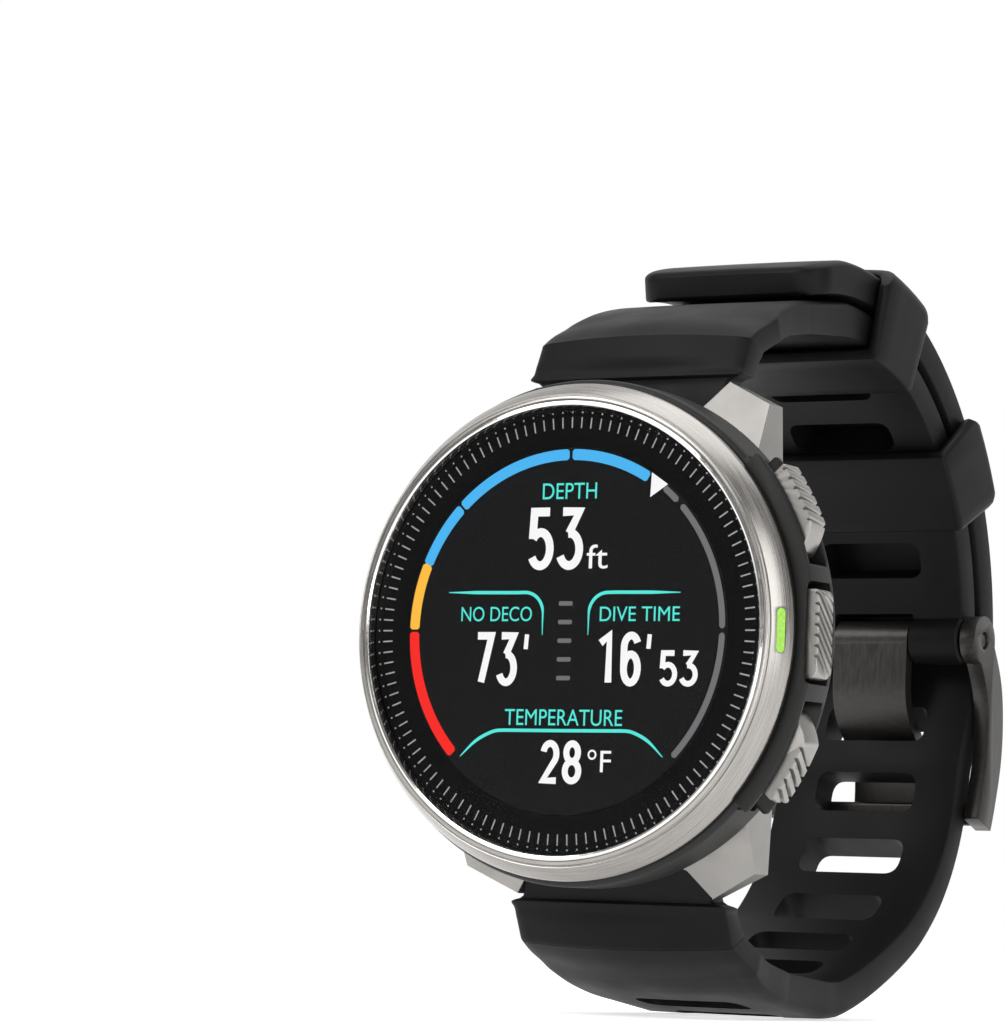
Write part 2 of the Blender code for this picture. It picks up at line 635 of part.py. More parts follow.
def make_buckle():
    frame = side_prism("buckle_frame", arm_outline(), ARM_X0, ARM_X1, DARK_STEEL)
    boolean(frame, side_prism("join_arm_left", arm_outline(), -ARM_X1, -ARM_X0), "UNION")
    for side in (1, -1):
        x0, x1 = sorted((side * ARM_X0, side * ARM_X1))
        boolean(frame, cylinder("join_arm_end_%d" % side, KNUCKLE_R, (x0, PIN_Y, PIN_Z),
                                (x1, PIN_Y, PIN_Z), 0, None, 32), "UNION")
    boolean(frame, box("join_far_bar", (-12.5, 12.5), (60.0, 61.6), (-16.3, -13.9)), "UNION")
    boolean(frame, cylinder("cut_pin_holes", PIN_R + GAP, (-12.6, PIN_Y, PIN_Z),
                            (12.6, PIN_Y, PIN_Z), 0, None, 24))
    cylinder("buckle_pin", PIN_R, (-12.3, PIN_Y, PIN_Z), (12.3, PIN_Y, PIN_Z), 0, BRUSHED, 24)
    plate = spline_through([(56.8, 3.6), (56.8, -1.8), (57.9, -4.6), (60.6, -7.4), (62.9, -10.6),
                            (63.0, -15.9)], 4)
    outline = ribbon(plate, [0.75] * len(plate))
    tongue = side_prism("buckle_tongue", outline, -TONGUE_W, TONGUE_W, DARK_STEEL)
    boolean(tongue, cylinder("join_hub", 2.2, (-TONGUE_W, PIN_Y, PIN_Z), (TONGUE_W, PIN_Y, PIN_Z),
                             0, None, 32), "UNION")
    boolean(tongue, cylinder("cut_hub", PIN_R + GAP, (-14, PIN_Y, PIN_Z), (14, PIN_Y, PIN_Z), 0,
                             None, 24))


# ---------------------------------------------------------------- the whole object

def join_bodies():
    """Every moving body hangs from an empty that stands on its joint's axis."""
    for name, degrees in (("upper", BUTTON_ANGLE), ("middle", 0.0), ("lower", -BUTTON_ANGLE)):
        x, z = polar(CASE_R, degrees)
        cap = "button_" + name
        carried(cap, (x, -STEM_H, z), [cap, cap + "_seal"])
    for name, top, root in (("upper", 1, "strap_short_root"), ("lower", -1, "strap_long_root")):
        bar = (0, 0, top * BAR_Z)
        carried("strap_root_" + name, bar, [root, "spring_bar_" + name])
        carried("release_" + name, (TIP_END, 0, top * BAR_Z), ["release_lever_" + name])
    carried("strap_loop", (0, BEND_Y, BEND_Z), ["strap_short", "strap_long", "buckle_pin"])
    for keeper in KEEPER_ANGLES:
        carried(keeper, (0, LOOP_Y, LOOP_Z), [keeper])
    for piece in ("buckle_frame", "buckle_tongue"):
        carried(piece, (0, PIN_Y, PIN_Z), [piece])


def main():
    clear_scene()
    make_case_body()
    make_bezel()
    make_front_stack()
    make_lugs()
    make_back()
    make_insides()
    make_button("button_upper", BUTTON_ANGLE)
    make_button("button_middle", 0.0)
    make_button("button_lower", -BUTTON_ANGLE)
    make_strap_short()
    make_strap_long()
    for name, degrees in KEEPER_ANGLES.items():
        make_keeper(name, degrees)
    make_spring_bar("upper", 1)
    make_spring_bar("lower", -1)
    make_buckle()
    join_bodies()


main()
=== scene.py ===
"""Looks for the wrist dive computer: detailed pieces, procedural materials, light and camera.

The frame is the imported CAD: origin at the centre of the case back, dial towards -Y, 12 o'clock
+Z, buttons +X. Sizes here are in millimetres; heights h are measured from the case back, y = -h.
"""
import math

import bmesh
import bpy
from mathutils import Matrix, Vector


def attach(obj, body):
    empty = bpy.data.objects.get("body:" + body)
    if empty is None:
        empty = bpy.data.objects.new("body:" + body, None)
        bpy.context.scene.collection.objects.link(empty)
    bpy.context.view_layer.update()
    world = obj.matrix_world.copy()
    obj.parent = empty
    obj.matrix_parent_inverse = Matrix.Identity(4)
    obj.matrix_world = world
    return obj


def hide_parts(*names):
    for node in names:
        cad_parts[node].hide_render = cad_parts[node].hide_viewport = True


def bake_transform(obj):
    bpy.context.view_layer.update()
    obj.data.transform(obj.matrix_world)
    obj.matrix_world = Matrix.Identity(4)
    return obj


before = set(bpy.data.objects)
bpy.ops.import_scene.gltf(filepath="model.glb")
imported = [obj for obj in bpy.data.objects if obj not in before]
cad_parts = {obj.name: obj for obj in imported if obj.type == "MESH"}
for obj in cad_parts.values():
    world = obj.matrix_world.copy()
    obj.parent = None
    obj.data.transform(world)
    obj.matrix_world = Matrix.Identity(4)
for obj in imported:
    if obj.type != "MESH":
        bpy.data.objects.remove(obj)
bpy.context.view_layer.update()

MM = 0.001
TURN = 256                     # steps of a fine turned piece
BUTTON_ANGLE = 29.0
LOOP_Y, LOOP_Z = 27.2, 4.0     # centre of the upper strap arc; the lower one is at -LOOP_Z
STRAP_IN_R, TAIL_IN_R = 29.8, 34.2
STRAP_T, SHOULDER_T = 4.0, 3.7
STRAP_W, FLARE_W = 10.8, 12.25
SLOT_FIRST, SLOT_STEP = 17.3, 14.9
PIN_Y, PIN_Z = 58.2, 4.1
DISPLAY_H = 11.80              # where the lit marks lie
GUARD_R, LID_H = 26.4, 9.2     # shoulder round the buttons, and the underside of its thin lid
CAP_H0, CAP_H1 = 5.9, 8.95     # back and front of the button caps
BUTTON_FACE_R = 27.72          # pressed faces of the outer two buttons
BAR_Z, BAR_BORE_R = 22.6, 0.95
LUG_SLOPE = 0.51               # how far the lugs' front face falls back per mm outwards
TIP_ROUND = 3.2                # corner radius of the strap's tip
KEEPER_ANGLES = {"keeper_front": 73.6, "keeper_back": 33.7}


# ---------------------------------------------------------------- materials

class Shader:
    """A Principled material with helpers for the noise that drives it."""

    def __init__(self, name, **sockets):
        self.material = bpy.data.materials.new(name)
        self.material.use_nodes = True
        self.tree = self.material.node_tree
        self.main = self.tree.nodes["Principled BSDF"]
        for key, value in sockets.items():
            self.main.inputs[key.replace("_", " ").title().replace("Ior", "IOR")].default_value = value
        self.coords = self.tree.nodes.new("ShaderNodeTexCoord").outputs["Object"]

    def noise(self, scale, detail=2.0, vector=None, rough=0.5):
        node = self.tree.nodes.new("ShaderNodeTexNoise")
        node.inputs["Scale"].default_value = scale
        node.inputs["Detail"].default_value = detail
        node.inputs["Roughness"].default_value = rough
        self.tree.links.new(vector or self.coords, node.inputs["Vector"])
        return node.outputs["Fac"]

    def ramp(self, fac, low, high, start=0.3, end=0.7):
        node = self.tree.nodes.new("ShaderNodeMapRange")
        self.tree.links.new(fac, node.inputs["Value"])
        node.inputs["From Min"].default_value = start
        node.inputs["From Max"].default_value = end
        node.inputs["To Min"].default_value = low
        node.inputs["To Max"].default_value = high
        return node.outputs["Result"]

    def tint(self, fac, dark, light, start=0.3, end=0.7):
        node = self.tree.nodes.new("ShaderNodeValToRGB")
        node.color_ramp.elements[0].position = start
        node.color_ramp.elements[0].color = (*dark, 1)
        node.color_ramp.elements[1].position = end
        node.color_ramp.elements[1].color = (*light, 1)
        self.tree.links.new(fac, node.inputs["Fac"])
        self.tree.links.new(node.outputs["Color"], self.main.inputs["Base Color"])

    def rough(self, fac, low, high):
        self.tree.links.new(self.ramp(fac, low, high), self.main.inputs["Roughness"])

    def bump(self, fac, strength, distance):
        node = self.tree.nodes.new("ShaderNodeBump")
        node.inputs["Strength"].default_value = strength
        node.inputs["Distance"].default_value = distance * MM
        self.tree.links.new(fac, node.inputs["Height"])
        self.tree.links.new(node.outputs["Normal"], self.main.inputs["Normal"])

    def math(self, operation, a, b=None):
        node = self.tree.nodes.new("ShaderNodeMath")
        node.operation = operation
        for socket, value in zip(node.inputs, (a, b)):
            if isinstance(value, (int, float)):
                socket.default_value = value
            elif value is not None:
                self.tree.links.new(value, socket)
        return node.outputs[0]

    def round_axis(self, around, across):
        """Coordinates that run round the case axis, for lathe-brushed metal."""
        split = self.tree.nodes.new("ShaderNodeSeparateXYZ")
        self.tree.links.new(self.coords, split.inputs[0])
        x, y, z = split.outputs
        radius = self.math("SQRT", self.math("ADD", self.math("MULTIPLY", x, x),
                                             self.math("MULTIPLY", z, z)))
        angle = self.math("ARCTAN2", z, x)
        join = self.tree.nodes.new("ShaderNodeCombineXYZ")
        for socket, value, gain in zip(join.inputs, (radius, y, angle), (across, across, around)):
            self.tree.links.new(self.math("MULTIPLY", value, gain), socket)
        return join.outputs[0]

    def stretched(self, x, y, z):
        node = self.tree.nodes.new("ShaderNodeMapping")
        node.inputs["Scale"].default_value = (x, y, z)
        self.tree.links.new(self.coords, node.inputs["Vector"])
        return node.outputs["Vector"]


def make_materials():
    made = {}

    blasted = Shader("bead_blasted_steel", metallic=1.0)
    blasted.tint(blasted.noise(260, 3), (0.29, 0.280, 0.266), (0.34, 0.328, 0.312))
    grain = blasted.noise(7000, 2)
    blasted.rough(grain, 0.34, 0.46)
    blasted.bump(grain, 0.16, 0.05)
    made["blasted"] = blasted.material

    brushed = Shader("brushed_steel_bezel", metallic=1.0, anisotropic=0.55)
    lines = brushed.noise(1.0, 3, brushed.round_axis(5.0, 15000))
    brushed.tint(lines, (0.26, 0.248, 0.235), (0.39, 0.375, 0.355))
    brushed.rough(lines, 0.20, 0.34)
    brushed.bump(lines, 0.10, 0.03)
    tangent = brushed.tree.nodes.new("ShaderNodeTangent")
    tangent.direction_type = "RADIAL"
    tangent.axis = "Y"
    brushed.tree.links.new(tangent.outputs[0], brushed.main.inputs["Tangent"])
    made["brushed"] = brushed.material

    polished = Shader("polished_steel_edge", metallic=1.0)
    wear = polished.noise(900, 3)
    polished.tint(wear, (0.66, 0.645, 0.62), (0.72, 0.705, 0.69))
    polished.rough(wear, 0.06, 0.15)
    made["polished"] = polished.material

    back = Shader("brushed_steel_back", metallic=1.0, anisotropic=0.4)
    rings = back.noise(1.0, 3, back.round_axis(4.0, 9000))
    back.tint(rings, (0.45, 0.435, 0.415), (0.60, 0.585, 0.56))
    back.rough(rings, 0.25, 0.42)
    back.bump(rings, 0.15, 0.04)
    made["back"] = back.material

    pin = Shader("drawn_steel", metallic=1.0)
    drawn = pin.noise(1.0, 2, pin.stretched(400, 14000, 14000))
    pin.tint(drawn, (0.40, 0.385, 0.37), (0.56, 0.545, 0.53))
    pin.rough(drawn, 0.22, 0.36)
    pin.bump(drawn, 0.12, 0.03)
    made["pin"] = pin.material

    dark = Shader("dark_coated_steel", metallic=0.85)
    satin = dark.noise(1.0, 3, dark.stretched(2500, 9000, 500))
    dark.tint(satin, (0.050, 0.047, 0.044), (0.068, 0.064, 0.060))
    dark.rough(satin, 0.33, 0.45)
    dark.bump(satin, 0.08, 0.03)
    made["dark"] = dark.material

    polymer = Shader("case_polymer", specular_ior_level=0.3)
    cast = polymer.noise(5200, 3)
    polymer.tint(cast, (0.006, 0.0056, 0.0052), (0.012, 0.0113, 0.0106))
    polymer.rough(cast, 0.42, 0.58)
    polymer.bump(cast, 0.22, 0.05)
    made["polymer"] = polymer.material

    silicone = Shader("silicone_strap", specular_ior_level=0.13)
    cloudy = silicone.noise(180, 4)
    silicone.tint(cloudy, (0.0040, 0.0040, 0.0042), (0.0060, 0.0060, 0.0063))
    fine = silicone.noise(9000, 2)
    silicone.rough(cloudy, 0.44, 0.54)
    silicone.bump(fine, 0.12, 0.03)
    made["silicone"] = silicone.material

    seal = Shader("seal_rubber")
    seal_grain = seal.noise(4000, 2)
    seal.tint(seal_grain, (0.012, 0.012, 0.012), (0.02, 0.02, 0.02))
    seal.rough(seal_grain, 0.6, 0.75)
    seal.bump(seal_grain, 0.2, 0.04)
    made["seal"] = seal.material

    board = Shader("circuit_board")
    traces = board.noise(1.0, 0, board.stretched(2600, 400, 900))
    board.tint(traces, (0.01, 0.07, 0.03), (0.02, 0.13, 0.06), 0.47, 0.53)
    board.rough(traces, 0.35, 0.5)
    made["board"] = board.material

    cell = Shader("battery_foil", metallic=0.8)
    foil = cell.noise(600, 4)
    cell.tint(foil, (0.30, 0.31, 0.33), (0.46, 0.47, 0.49))
    cell.rough(foil, 0.25, 0.5)
    cell.bump(foil, 0.3, 0.1)
    made["cell"] = cell.material

    gold = Shader("contact_gold", metallic=1.0)
    plated = gold.noise(3000, 3)
    gold.tint(plated, (0.66, 0.43, 0.16), (0.80, 0.56, 0.24))
    gold.rough(plated, 0.16, 0.32)
    made["gold"] = gold.material

    ink = Shader("glass_border_ink", specular_ior_level=0.08)
    speck = ink.noise(3000, 2)
    ink.tint(speck, (0.0016, 0.0016, 0.0018), (0.0026, 0.0026, 0.0028))
    ink.rough(speck, 0.3, 0.4)
    made["ink"] = ink.material

    screen = Shader("screen_black", specular_ior_level=0.10)
    cells = screen.noise(9000, 0)
    screen.tint(cells, (0.0060, 0.0060, 0.0065), (0.0080, 0.0080, 0.0086))
    screen.rough(cells, 0.25, 0.32)
    made["screen"] = screen.material

    # Painted glow: the lens gets a faint green emission although it is a window, not a lamp. The frost
    # noise only varies its green tone.
    window_painted_glow = Shader("light_window", emission_color=(0.30, 0.62, 0.05, 1), emission_strength=0.30)
    frost = window_painted_glow.noise(2500, 2)
    window_painted_glow.tint(frost, (0.20, 0.42, 0.05), (0.27, 0.52, 0.08))
    window_painted_glow.rough(frost, 0.15, 0.3)
    made["window_painted_glow"] = window_painted_glow.material

    lit = {"turquoise": (0.10, 0.80, 0.70), "white": (0.93, 0.93, 0.93),
           "blue": (0.075, 0.46, 0.88), "yellow": (1.0, 0.51, 0.06), "red": (0.93, 0.03, 0.025),
           "grey": (0.17, 0.17, 0.175)}
    for name, colour in lit.items():
        glow = Shader("lit_" + name, emission_strength=1.0, specular_ior_level=0.0)
        glow.main.inputs["Emission Color"].default_value = (*colour, 1)
        weave = glow.noise(9000, 0)
        glow.tint(weave, [c * 0.02 for c in colour], [c * 0.03 for c in colour])
        glow.rough(weave, 0.5, 0.6)
        made["lit_" + name] = glow.material

    tick = Shader("tick_ink")
    print_grain = tick.noise(6000, 2)
    tick.tint(print_grain, (0.25, 0.25, 0.245), (0.36, 0.36, 0.35))
    tick.rough(print_grain, 0.35, 0.5)
    made["tick"] = tick.material

    made["glass"] = clear_glass()

    ground = Shader("floor_paper", specular_ior_level=0.1, emission_color=(1, 1, 1, 1),
                    emission_strength=0.62)
    fibre = ground.noise(400, 4)
    ground.tint(fibre, (0.80, 0.80, 0.80), (0.83, 0.83, 0.83))
    ground.rough(fibre, 0.75, 0.9)
    made["floor"] = ground.material
    return made


def clear_glass():
    """Thin clear cover: it lets light through and shines at a slant."""
    material = bpy.data.materials.new("clear_crystal")
    material.use_nodes = True
    tree = material.node_tree
    tree.nodes.clear()
    out = tree.nodes.new("ShaderNodeOutputMaterial")
    mix = tree.nodes.new("ShaderNodeMixShader")
    clear = tree.nodes.new("ShaderNodeBsdfTransparent")
    gloss = tree.nodes.new("ShaderNodeBsdfGlossy")
    fresnel = tree.nodes.new("ShaderNodeFresnel")
    coords = tree.nodes.new("ShaderNodeTexCoord")
    smear = tree.nodes.new("ShaderNodeTexNoise")
    spread = tree.nodes.new("ShaderNodeMapRange")
    fresnel.inputs["IOR"].default_value = 1.07
    clear.inputs["Color"].default_value = (0.99, 0.99, 0.99, 1)
    gloss.inputs["Color"].default_value = (0.9, 0.9, 0.9, 1)
    smear.inputs["Scale"].default_value = 120
    spread.inputs["To Min"].default_value = 0.015
    spread.inputs["To Max"].default_value = 0.05
    for a, b in ((coords.outputs["Object"], smear.inputs["Vector"]),
                 (smear.outputs["Fac"], spread.inputs["Value"]),
                 (spread.outputs["Result"], gloss.inputs["Roughness"]),
                 (fresnel.outputs["Fac"], mix.inputs["Fac"]),
                 (clear.outputs["BSDF"], mix.inputs[1]), (gloss.outputs["BSDF"], mix.inputs[2]),
                 (mix.outputs["Shader"], out.inputs["Surface"])):
        tree.links.new(a, b)
    return material


LOOK = make_materials()


# ---------------------------------------------------------------- mesh helpers

def finish_mesh(name, bm, look, angle=32):
    bmesh.ops.remove_doubles(bm, verts=bm.verts, dist=1e-8)
    bmesh.ops.recalc_face_normals(bm, faces=bm.faces)
    mesh = bpy.data.meshes.new(name)
    bm.to_mesh(mesh)
    bm.free()
    mesh.shade_smooth()
    mesh.set_sharp_from_angle(angle=math.radians(angle))
    obj = bpy.data.objects.new(name, mesh)
    bpy.context.scene.collection.objects.link(obj)
    if look:
        mesh.materials.append(LOOK[look])
    return obj


def bake(obj, angle=32):
    """Turn the modifiers of a piece into plain mesh."""
    bpy.context.view_layer.update()
    graph = bpy.context.evaluated_depsgraph_get()
    mesh = bpy.data.meshes.new_from_object(obj.evaluated_get(graph))
    tools = [m.object for m in obj.modifiers if m.type == "BOOLEAN"]
    obj.modifiers.clear()
    obj.data = mesh
    for tool in set(tools):
        bpy.data.objects.remove(tool, do_unlink=True)
    if angle:
        mesh.shade_smooth()
        mesh.set_sharp_from_angle(angle=math.radians(angle))
    return obj


def boolean(obj, tool, operation="DIFFERENCE"):
    mod = obj.modifiers.new(operation.lower(), "BOOLEAN")
    mod.operation = operation
    mod.solver = "EXACT"
    mod.object = tool


def bevelled(obj, width, segments=3, degrees=35):
    mod = obj.modifiers.new("edge", "BEVEL")
    mod.width = width * MM
    mod.segments = segments
    mod.limit_method = "ANGLE"
    mod.angle_limit = math.radians(degrees)
    mod.harden_normals = True
    return bake(obj, 0)


def rides(obj, body, slot, *nodes):
    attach(obj, body)
    if nodes:
        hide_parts(*nodes)
    return obj


def polar(radius, degrees, centre=(0.0, 0.0)):
    angle = math.radians(degrees)
    return (centre[0] + radius * math.cos(angle), centre[1] + radius * math.sin(angle))


def arc(radius, start, end, steps, centre=(0.0, 0.0)):
    return [polar(radius, start + (end - start) * i / steps, centre) for i in range(steps + 1)]


def fillet(points, radius, steps=4):
    """Round each corner of a closed outline."""
    out = []
    count = len(points)
    for i, point in enumerate(points):
        here = Vector(point)
        before, after = Vector(points[i - 1]), Vector(points[(i + 1) % count])
        a, b = before - here, after - here
        size = radius[i] if isinstance(radius, (list, tuple)) else radius
        reach = min(size, a.length * 0.45, b.length * 0.45)
        if reach < 1e-4:
            out.append(tuple(here))
            continue
        start, end = here + a.normalized() * reach, here + b.normalized() * reach
        for k in range(steps + 1):
            t = k / steps
            out.append(tuple(start * (1 - t) ** 2 + here * 2 * t * (1 - t) + end * t * t))
    return out


def revolve(name, profile, look, steps=TURN, centre=(0.0, 0.0), angle=32):
    """A closed outline of (radius, height) turned about the case axis."""
    bm = bmesh.new()
    rows = []
    for r, h in profile:
        if r < 1e-6:
            rows.append([bm.verts.new((centre[0] * MM, -h * MM, centre[1] * MM))] * steps)
            continue
        row = []
        for i in range(steps):
            x, z = polar(r, 360 * i / steps, centre)
            row.append(bm.verts.new((x * MM, -h * MM, z * MM)))
        rows.append(row)
    for first, second in zip(rows, rows[1:] + rows[:1]):
        for i in range(steps):
            j = (i + 1) % steps
            corners = [first[i], first[j], second[j], second[i]]
            unique = list(dict.fromkeys(corners))
            if len(unique) > 2:
                bm.faces.new(unique)
    return finish_mesh(name, bm, look, angle)


def prism(name, outline, low, high, look, axis="y", angle=32):
    """An outline pushed from low to high: (x, z) outline along -y, or (y, z) outline along x."""
    bm = bmesh.new()
    rows = []
    for level in (low, high):
        if axis == "y":
            rows.append([bm.verts.new((a * MM, -level * MM, b * MM)) for a, b in outline])
        else:
            rows.append([bm.verts.new((level * MM, a * MM, b * MM)) for a, b in outline])
    count = len(outline)
    for i in range(count):
        j = (i + 1) % count
        bm.faces.new((rows[0][i], rows[0][j], rows[1][j], rows[1][i]))
    bm.faces.new(rows[0][::-1])
    bm.faces.new(rows[1])
    return finish_mesh(name, bm, look, angle)


def rod(name, points, look, steps=40):
    """A turned bar along x through (x, radius) points, about (y, z) = centre."""
    (cy, cz), profile = points
    bm = bmesh.new()
    rows = []
    for x, r in profile:
        row = []
        for i in range(steps):
            y, z = polar(r, 360 * i / steps, (cy, cz))
            row.append(bm.verts.new((x * MM, y * MM, z * MM)))
        rows.append(row)
    for first, second in zip(rows, rows[1:]):
        for i in range(steps):
            j = (i + 1) % steps
            bm.faces.new((first[i], first[j], second[j], second[i]))
    bm.faces.new(rows[0][::-1])
    bm.faces.new(rows[-1])
    return finish_mesh(name, bm, look)


def sweep(name, rows, look, angle=32):
    """Skin over rows of points, closed round each row and capped at both ends."""
    bm = bmesh.new()
    made = [[bm.verts.new([c * MM for c in point]) for point in row] for row in rows]
    count = len(made[0])
    for first, second in zip(made, made[1:]):
        for i in range(count):
            j = (i + 1) % count
            bm.faces.new((first[i], first[j], second[j], second[i]))
    bm.faces.new(made[0][::-1])
    bm.faces.new(made[-1])
    return finish_mesh(name, bm, look, angle)


def spline(points, steps):
    ends = [points[0]] + list(points) + [points[-1]]
    out = []
    for a, b, c, d in zip(ends, ends[1:], ends[2:], ends[3:]):
        for i in range(steps):
            t = i / steps
            out.append(tuple(
                0.5 * (2 * q + (r - p) * t + (2 * p - 5 * q + 4 * r - s) * t * t
                       + (3 * q - p - 3 * r + s) * t ** 3)
                for p, q, r, s in zip(a, b, c, d)))
    return out + [tuple(points[-1])]


def merged(name, objects, look):
    """Several pieces as one mesh."""
    bm = bmesh.new()
    for obj in objects:
        fresh = len(bm.verts)
        bm.from_mesh(obj.data)
        bm.verts.ensure_lookup_table()
        bmesh.ops.transform(bm, matrix=obj.matrix_world, verts=bm.verts[fresh:])
        bpy.data.objects.remove(obj, do_unlink=True)
    return finish_mesh(name, bm, look)


# ---------------------------------------------------------------- case

def make_bezel():
    edge = [(22.2, 11.2), (22.2, 12.75), (22.34, 13.0), (22.52, 13.07), (22.72, 13.03),
            (22.78, 12.97), (22.78, 11.2)]
    rim = revolve("bezel_polished_edge", edge, "polished")
    rides(rim, "watch", "brushed_steel")
    profile = fillet([(22.80, 12.99), (23.22, 12.90), (23.30, 12.74), (23.40, 12.74),
                      (23.50, 12.80), (24.66, 10.85), (24.75, 10.55), (24.75, 10.1), (24.5, 9.9),
                      (20.9, 9.9), (20.9, 10.3), (22.8, 10.3)], 0.07, 2)
    bezel = revolve("bezel_ring", profile, "brushed", angle=24)
    middle = Vector((24.08, -11.82, 0.0))
    out = Vector((0.848, -0.530, 0.0))
    down = Vector((0.530, 0.848, 0.0))
    tool = slanted_stadium("slot_tool", middle, out, down, 0.52, 2.2, -0.55, 2.0, None)
    boolean(bezel, tool)
    bake(bezel, 24)
    rides(bezel, "watch", "brushed_steel", "bezel")
    # This lens material carries a painted glow, a faint green emission.
    lens = slanted_stadium("light_window_lens", middle, out, down, 0.49, 2.17, -0.5, -0.03,
                           "window_painted_glow")
    bevelled(lens, 0.08, 2, 50)
    rides(lens, "watch", "light_window", "light_window")


def slanted_stadium(name, middle, out, down, half, reach, low, high, look):
    """A round-ended block standing on a slanted face."""
    flat = []
    for i in range(13):
        a, b = polar(half, 180 * i / 12)
        flat.append((a, b + reach - half))
    flat += [(-a, -b) for a, b in flat]
    bm = bmesh.new()
    rows = []
    for level in (low, high):
        rows.append([bm.verts.new((middle + down * a + Vector((0, 0, b)) + out * level) * MM)
                     for a, b in flat])
    for i in range(len(flat)):
        j = (i + 1) % len(flat)
        bm.faces.new((rows[0][i], rows[0][j], rows[1][j], rows[1][i]))
    bm.faces.new(rows[0][::-1])
    bm.faces.new(rows[1])
    return finish_mesh(name, bm, look)


def make_case():
    profile = [(20.6, 9.6), (24.9, 9.6), (25.3, 9.25), (25.3, 4.6), (23.6, 1.2), (22.9, 0.5),
               (19.2, 0.5), (19.2, 2.05), (16.6, 2.05), (16.6, 4.6), (20.6, 4.6)]
    body = revolve("case_body_shell", fillet(profile, 0.25, 3), "polymer", 192)
    guard = arc(23.0, -42, 42, 30) + arc(GUARD_R, 42, -42, 40)
    shoulder = prism("guard", fillet(guard, 0.3, 2), 4.8, 9.6, None)
    bevelled(shoulder, 0.35, 3, 50)
    boolean(body, shoulder, "UNION")
    cutters = []
    for top in (1, -1):
        low, high = sorted((19.95 * top, 28.0 * top))
        cutters.append(prism("tool", [(-18.6, low), (18.6, low), (18.6, high), (-18.6, high)],
                             -2.0, 2.8, None))
        pocket = arc(22.3, top * 14.6, top * 43.0, 16) + arc(30.0, top * 43.0, top * 14.6, 16)
        cutters.append(prism("tool", pocket[::top], 5.5, LID_H, None))
    for near, high in ((23.2, LID_H), (25.4, 9.8)):
        room = fillet([(near, -5.0), (29.0, -5.0), (29.0, 5.0), (near, 5.0)], [0.8, 0, 0, 0.8], 4)
        cutters.append(prism("tool", room, 5.5, high, None))
    for tool in cutters:
        boolean(body, tool)
    for side in (1, -1):
        for top in (1, -1):
            tool = lug_block("tool", side, top, 0.12, -2.0, 8.0, None)
            boolean(body, tool)
    bake(body, 30)
    rides(body, "watch", "case_polymer", "case_body")


def lug_outline(grow):
    return [(11.2 - grow, 16.8 - grow), (16.85 + grow, 16.8 - grow), (16.6 + grow, 23.3 + grow),
            (11.2 - grow, 25.95 + grow)]


def lug_block(name, side, top, grow, low, high, look):
    """The lug plate: an outline, cut by its sloping front face and by the round case."""
    outline = [(x * side, z * top) for x, z in lug_outline(grow)][::side * top]
    lug = prism(name, outline, low, high, look)
    slope = [(-20.0, 16.0), (-5.11 - grow, 16.0), (0.5 - grow, 27.0), (-20.0, 27.0)]
    x0, x1 = sorted((side * 8.0, side * 22.0))
    boolean(lug, prism(name + "_s", [(y, z * top) for y, z in slope][::top], x0, x1, None, "x"))
    core = arc(21.6 - grow, 0, 360, 96)[:-1]
    boolean(lug, prism(name + "_c", core, low - 1, high + 1, None))
    return bake(lug)


def make_lugs():
    for side, across in ((1, "right"), (-1, "left")):
        for top, height in ((1, "upper"), (-1, "lower")):
            name = "lug_%s_%s" % (height, across)
            lug = lug_block(name + "_plate", side, top, 0.0, -1.4, 6.0, "blasted")
            rows = []
            for lift in (0.0, 0.25):
                rows.append([(x * side, -5.11 + LUG_SLOPE * (z - 16.0) + lift, z * top) for x, z in
                             ((11.6, 25.6), (11.2, 25.8), (9.0, 23.2), (8.0, 22.8), (7.6, 21.6),
                              (11.6, 21.6))])
            boolean(lug, sweep("tool", rows, None), "UNION")
            bake(lug)
            bevelled(lug, 0.1, 2, 30)
            rides(lug, "watch", "bead_blasted_steel", name)


def make_crystal():
    glass = fillet([(0, 12.9), (21.65, 12.9), (22.0, 12.72), (22.0, 12.5), (0, 12.5)],
                   [0, 0.2, 0.2, 0.1, 0], 4)
    crystal = revolve("crystal_cover", glass, "glass", angle=40)
    rides(crystal, "watch", "crystal_glass", "crystal")
    border = revolve("minute_ring_black", [(18.3, 11.76), (22.15, 11.76), (22.15, 10.6),
                                           (18.3, 10.6)], "ink")
    rides(border, "watch", "case_polymer", "minute_ring")
    panel = revolve("display_glass", [(0, 11.765), (18.25, 11.765), (18.25, 10.4), (0, 10.4)],
                    "screen")
    rides(panel, "watch", "display", "display_panel")
    bm = bmesh.new()
    dots = bmesh.new()
    for i in range(120):
        degrees = 90 - 3 * i
        add_patch(bm, [polar(r, degrees + s * w) for r, s, w in
                       ((20.15, -1, 0.20), (21.25, -1, 0.19), (21.25, 1, 0.19), (20.15, 1, 0.20))],
                  11.79)
        spot = polar(21.72, degrees)
        add_patch(dots, [polar(0.10, 45 * k, spot) for k in range(8)], 11.79)
    ticks = finish_mesh("minute_ticks", bm, "tick")
    rides(ticks, "watch", "display")
    rides(finish_mesh("minute_dots", dots, "tick"), "watch", "display")


def add_patch(bm, points, h):
    """A flat shape that faces the viewer."""
    verts = [bm.verts.new((x * MM, -h * MM, z * MM)) for x, z in points]
    face = bm.faces.new(verts)
    face.normal_update()
    if face.normal.y > 0:
        face.normal_flip()


def keep_front(name, bm, look):
    """Like finish_mesh, for flat shapes that all face the viewer already."""
    mesh = bpy.data.meshes.new(name)
    bm.to_mesh(mesh)
    bm.free()
    obj = bpy.data.objects.new(name, mesh)
    bpy.context.scene.collection.objects.link(obj)
    mesh.materials.append(LOOK[look])
    return rides(obj, "watch", "display")


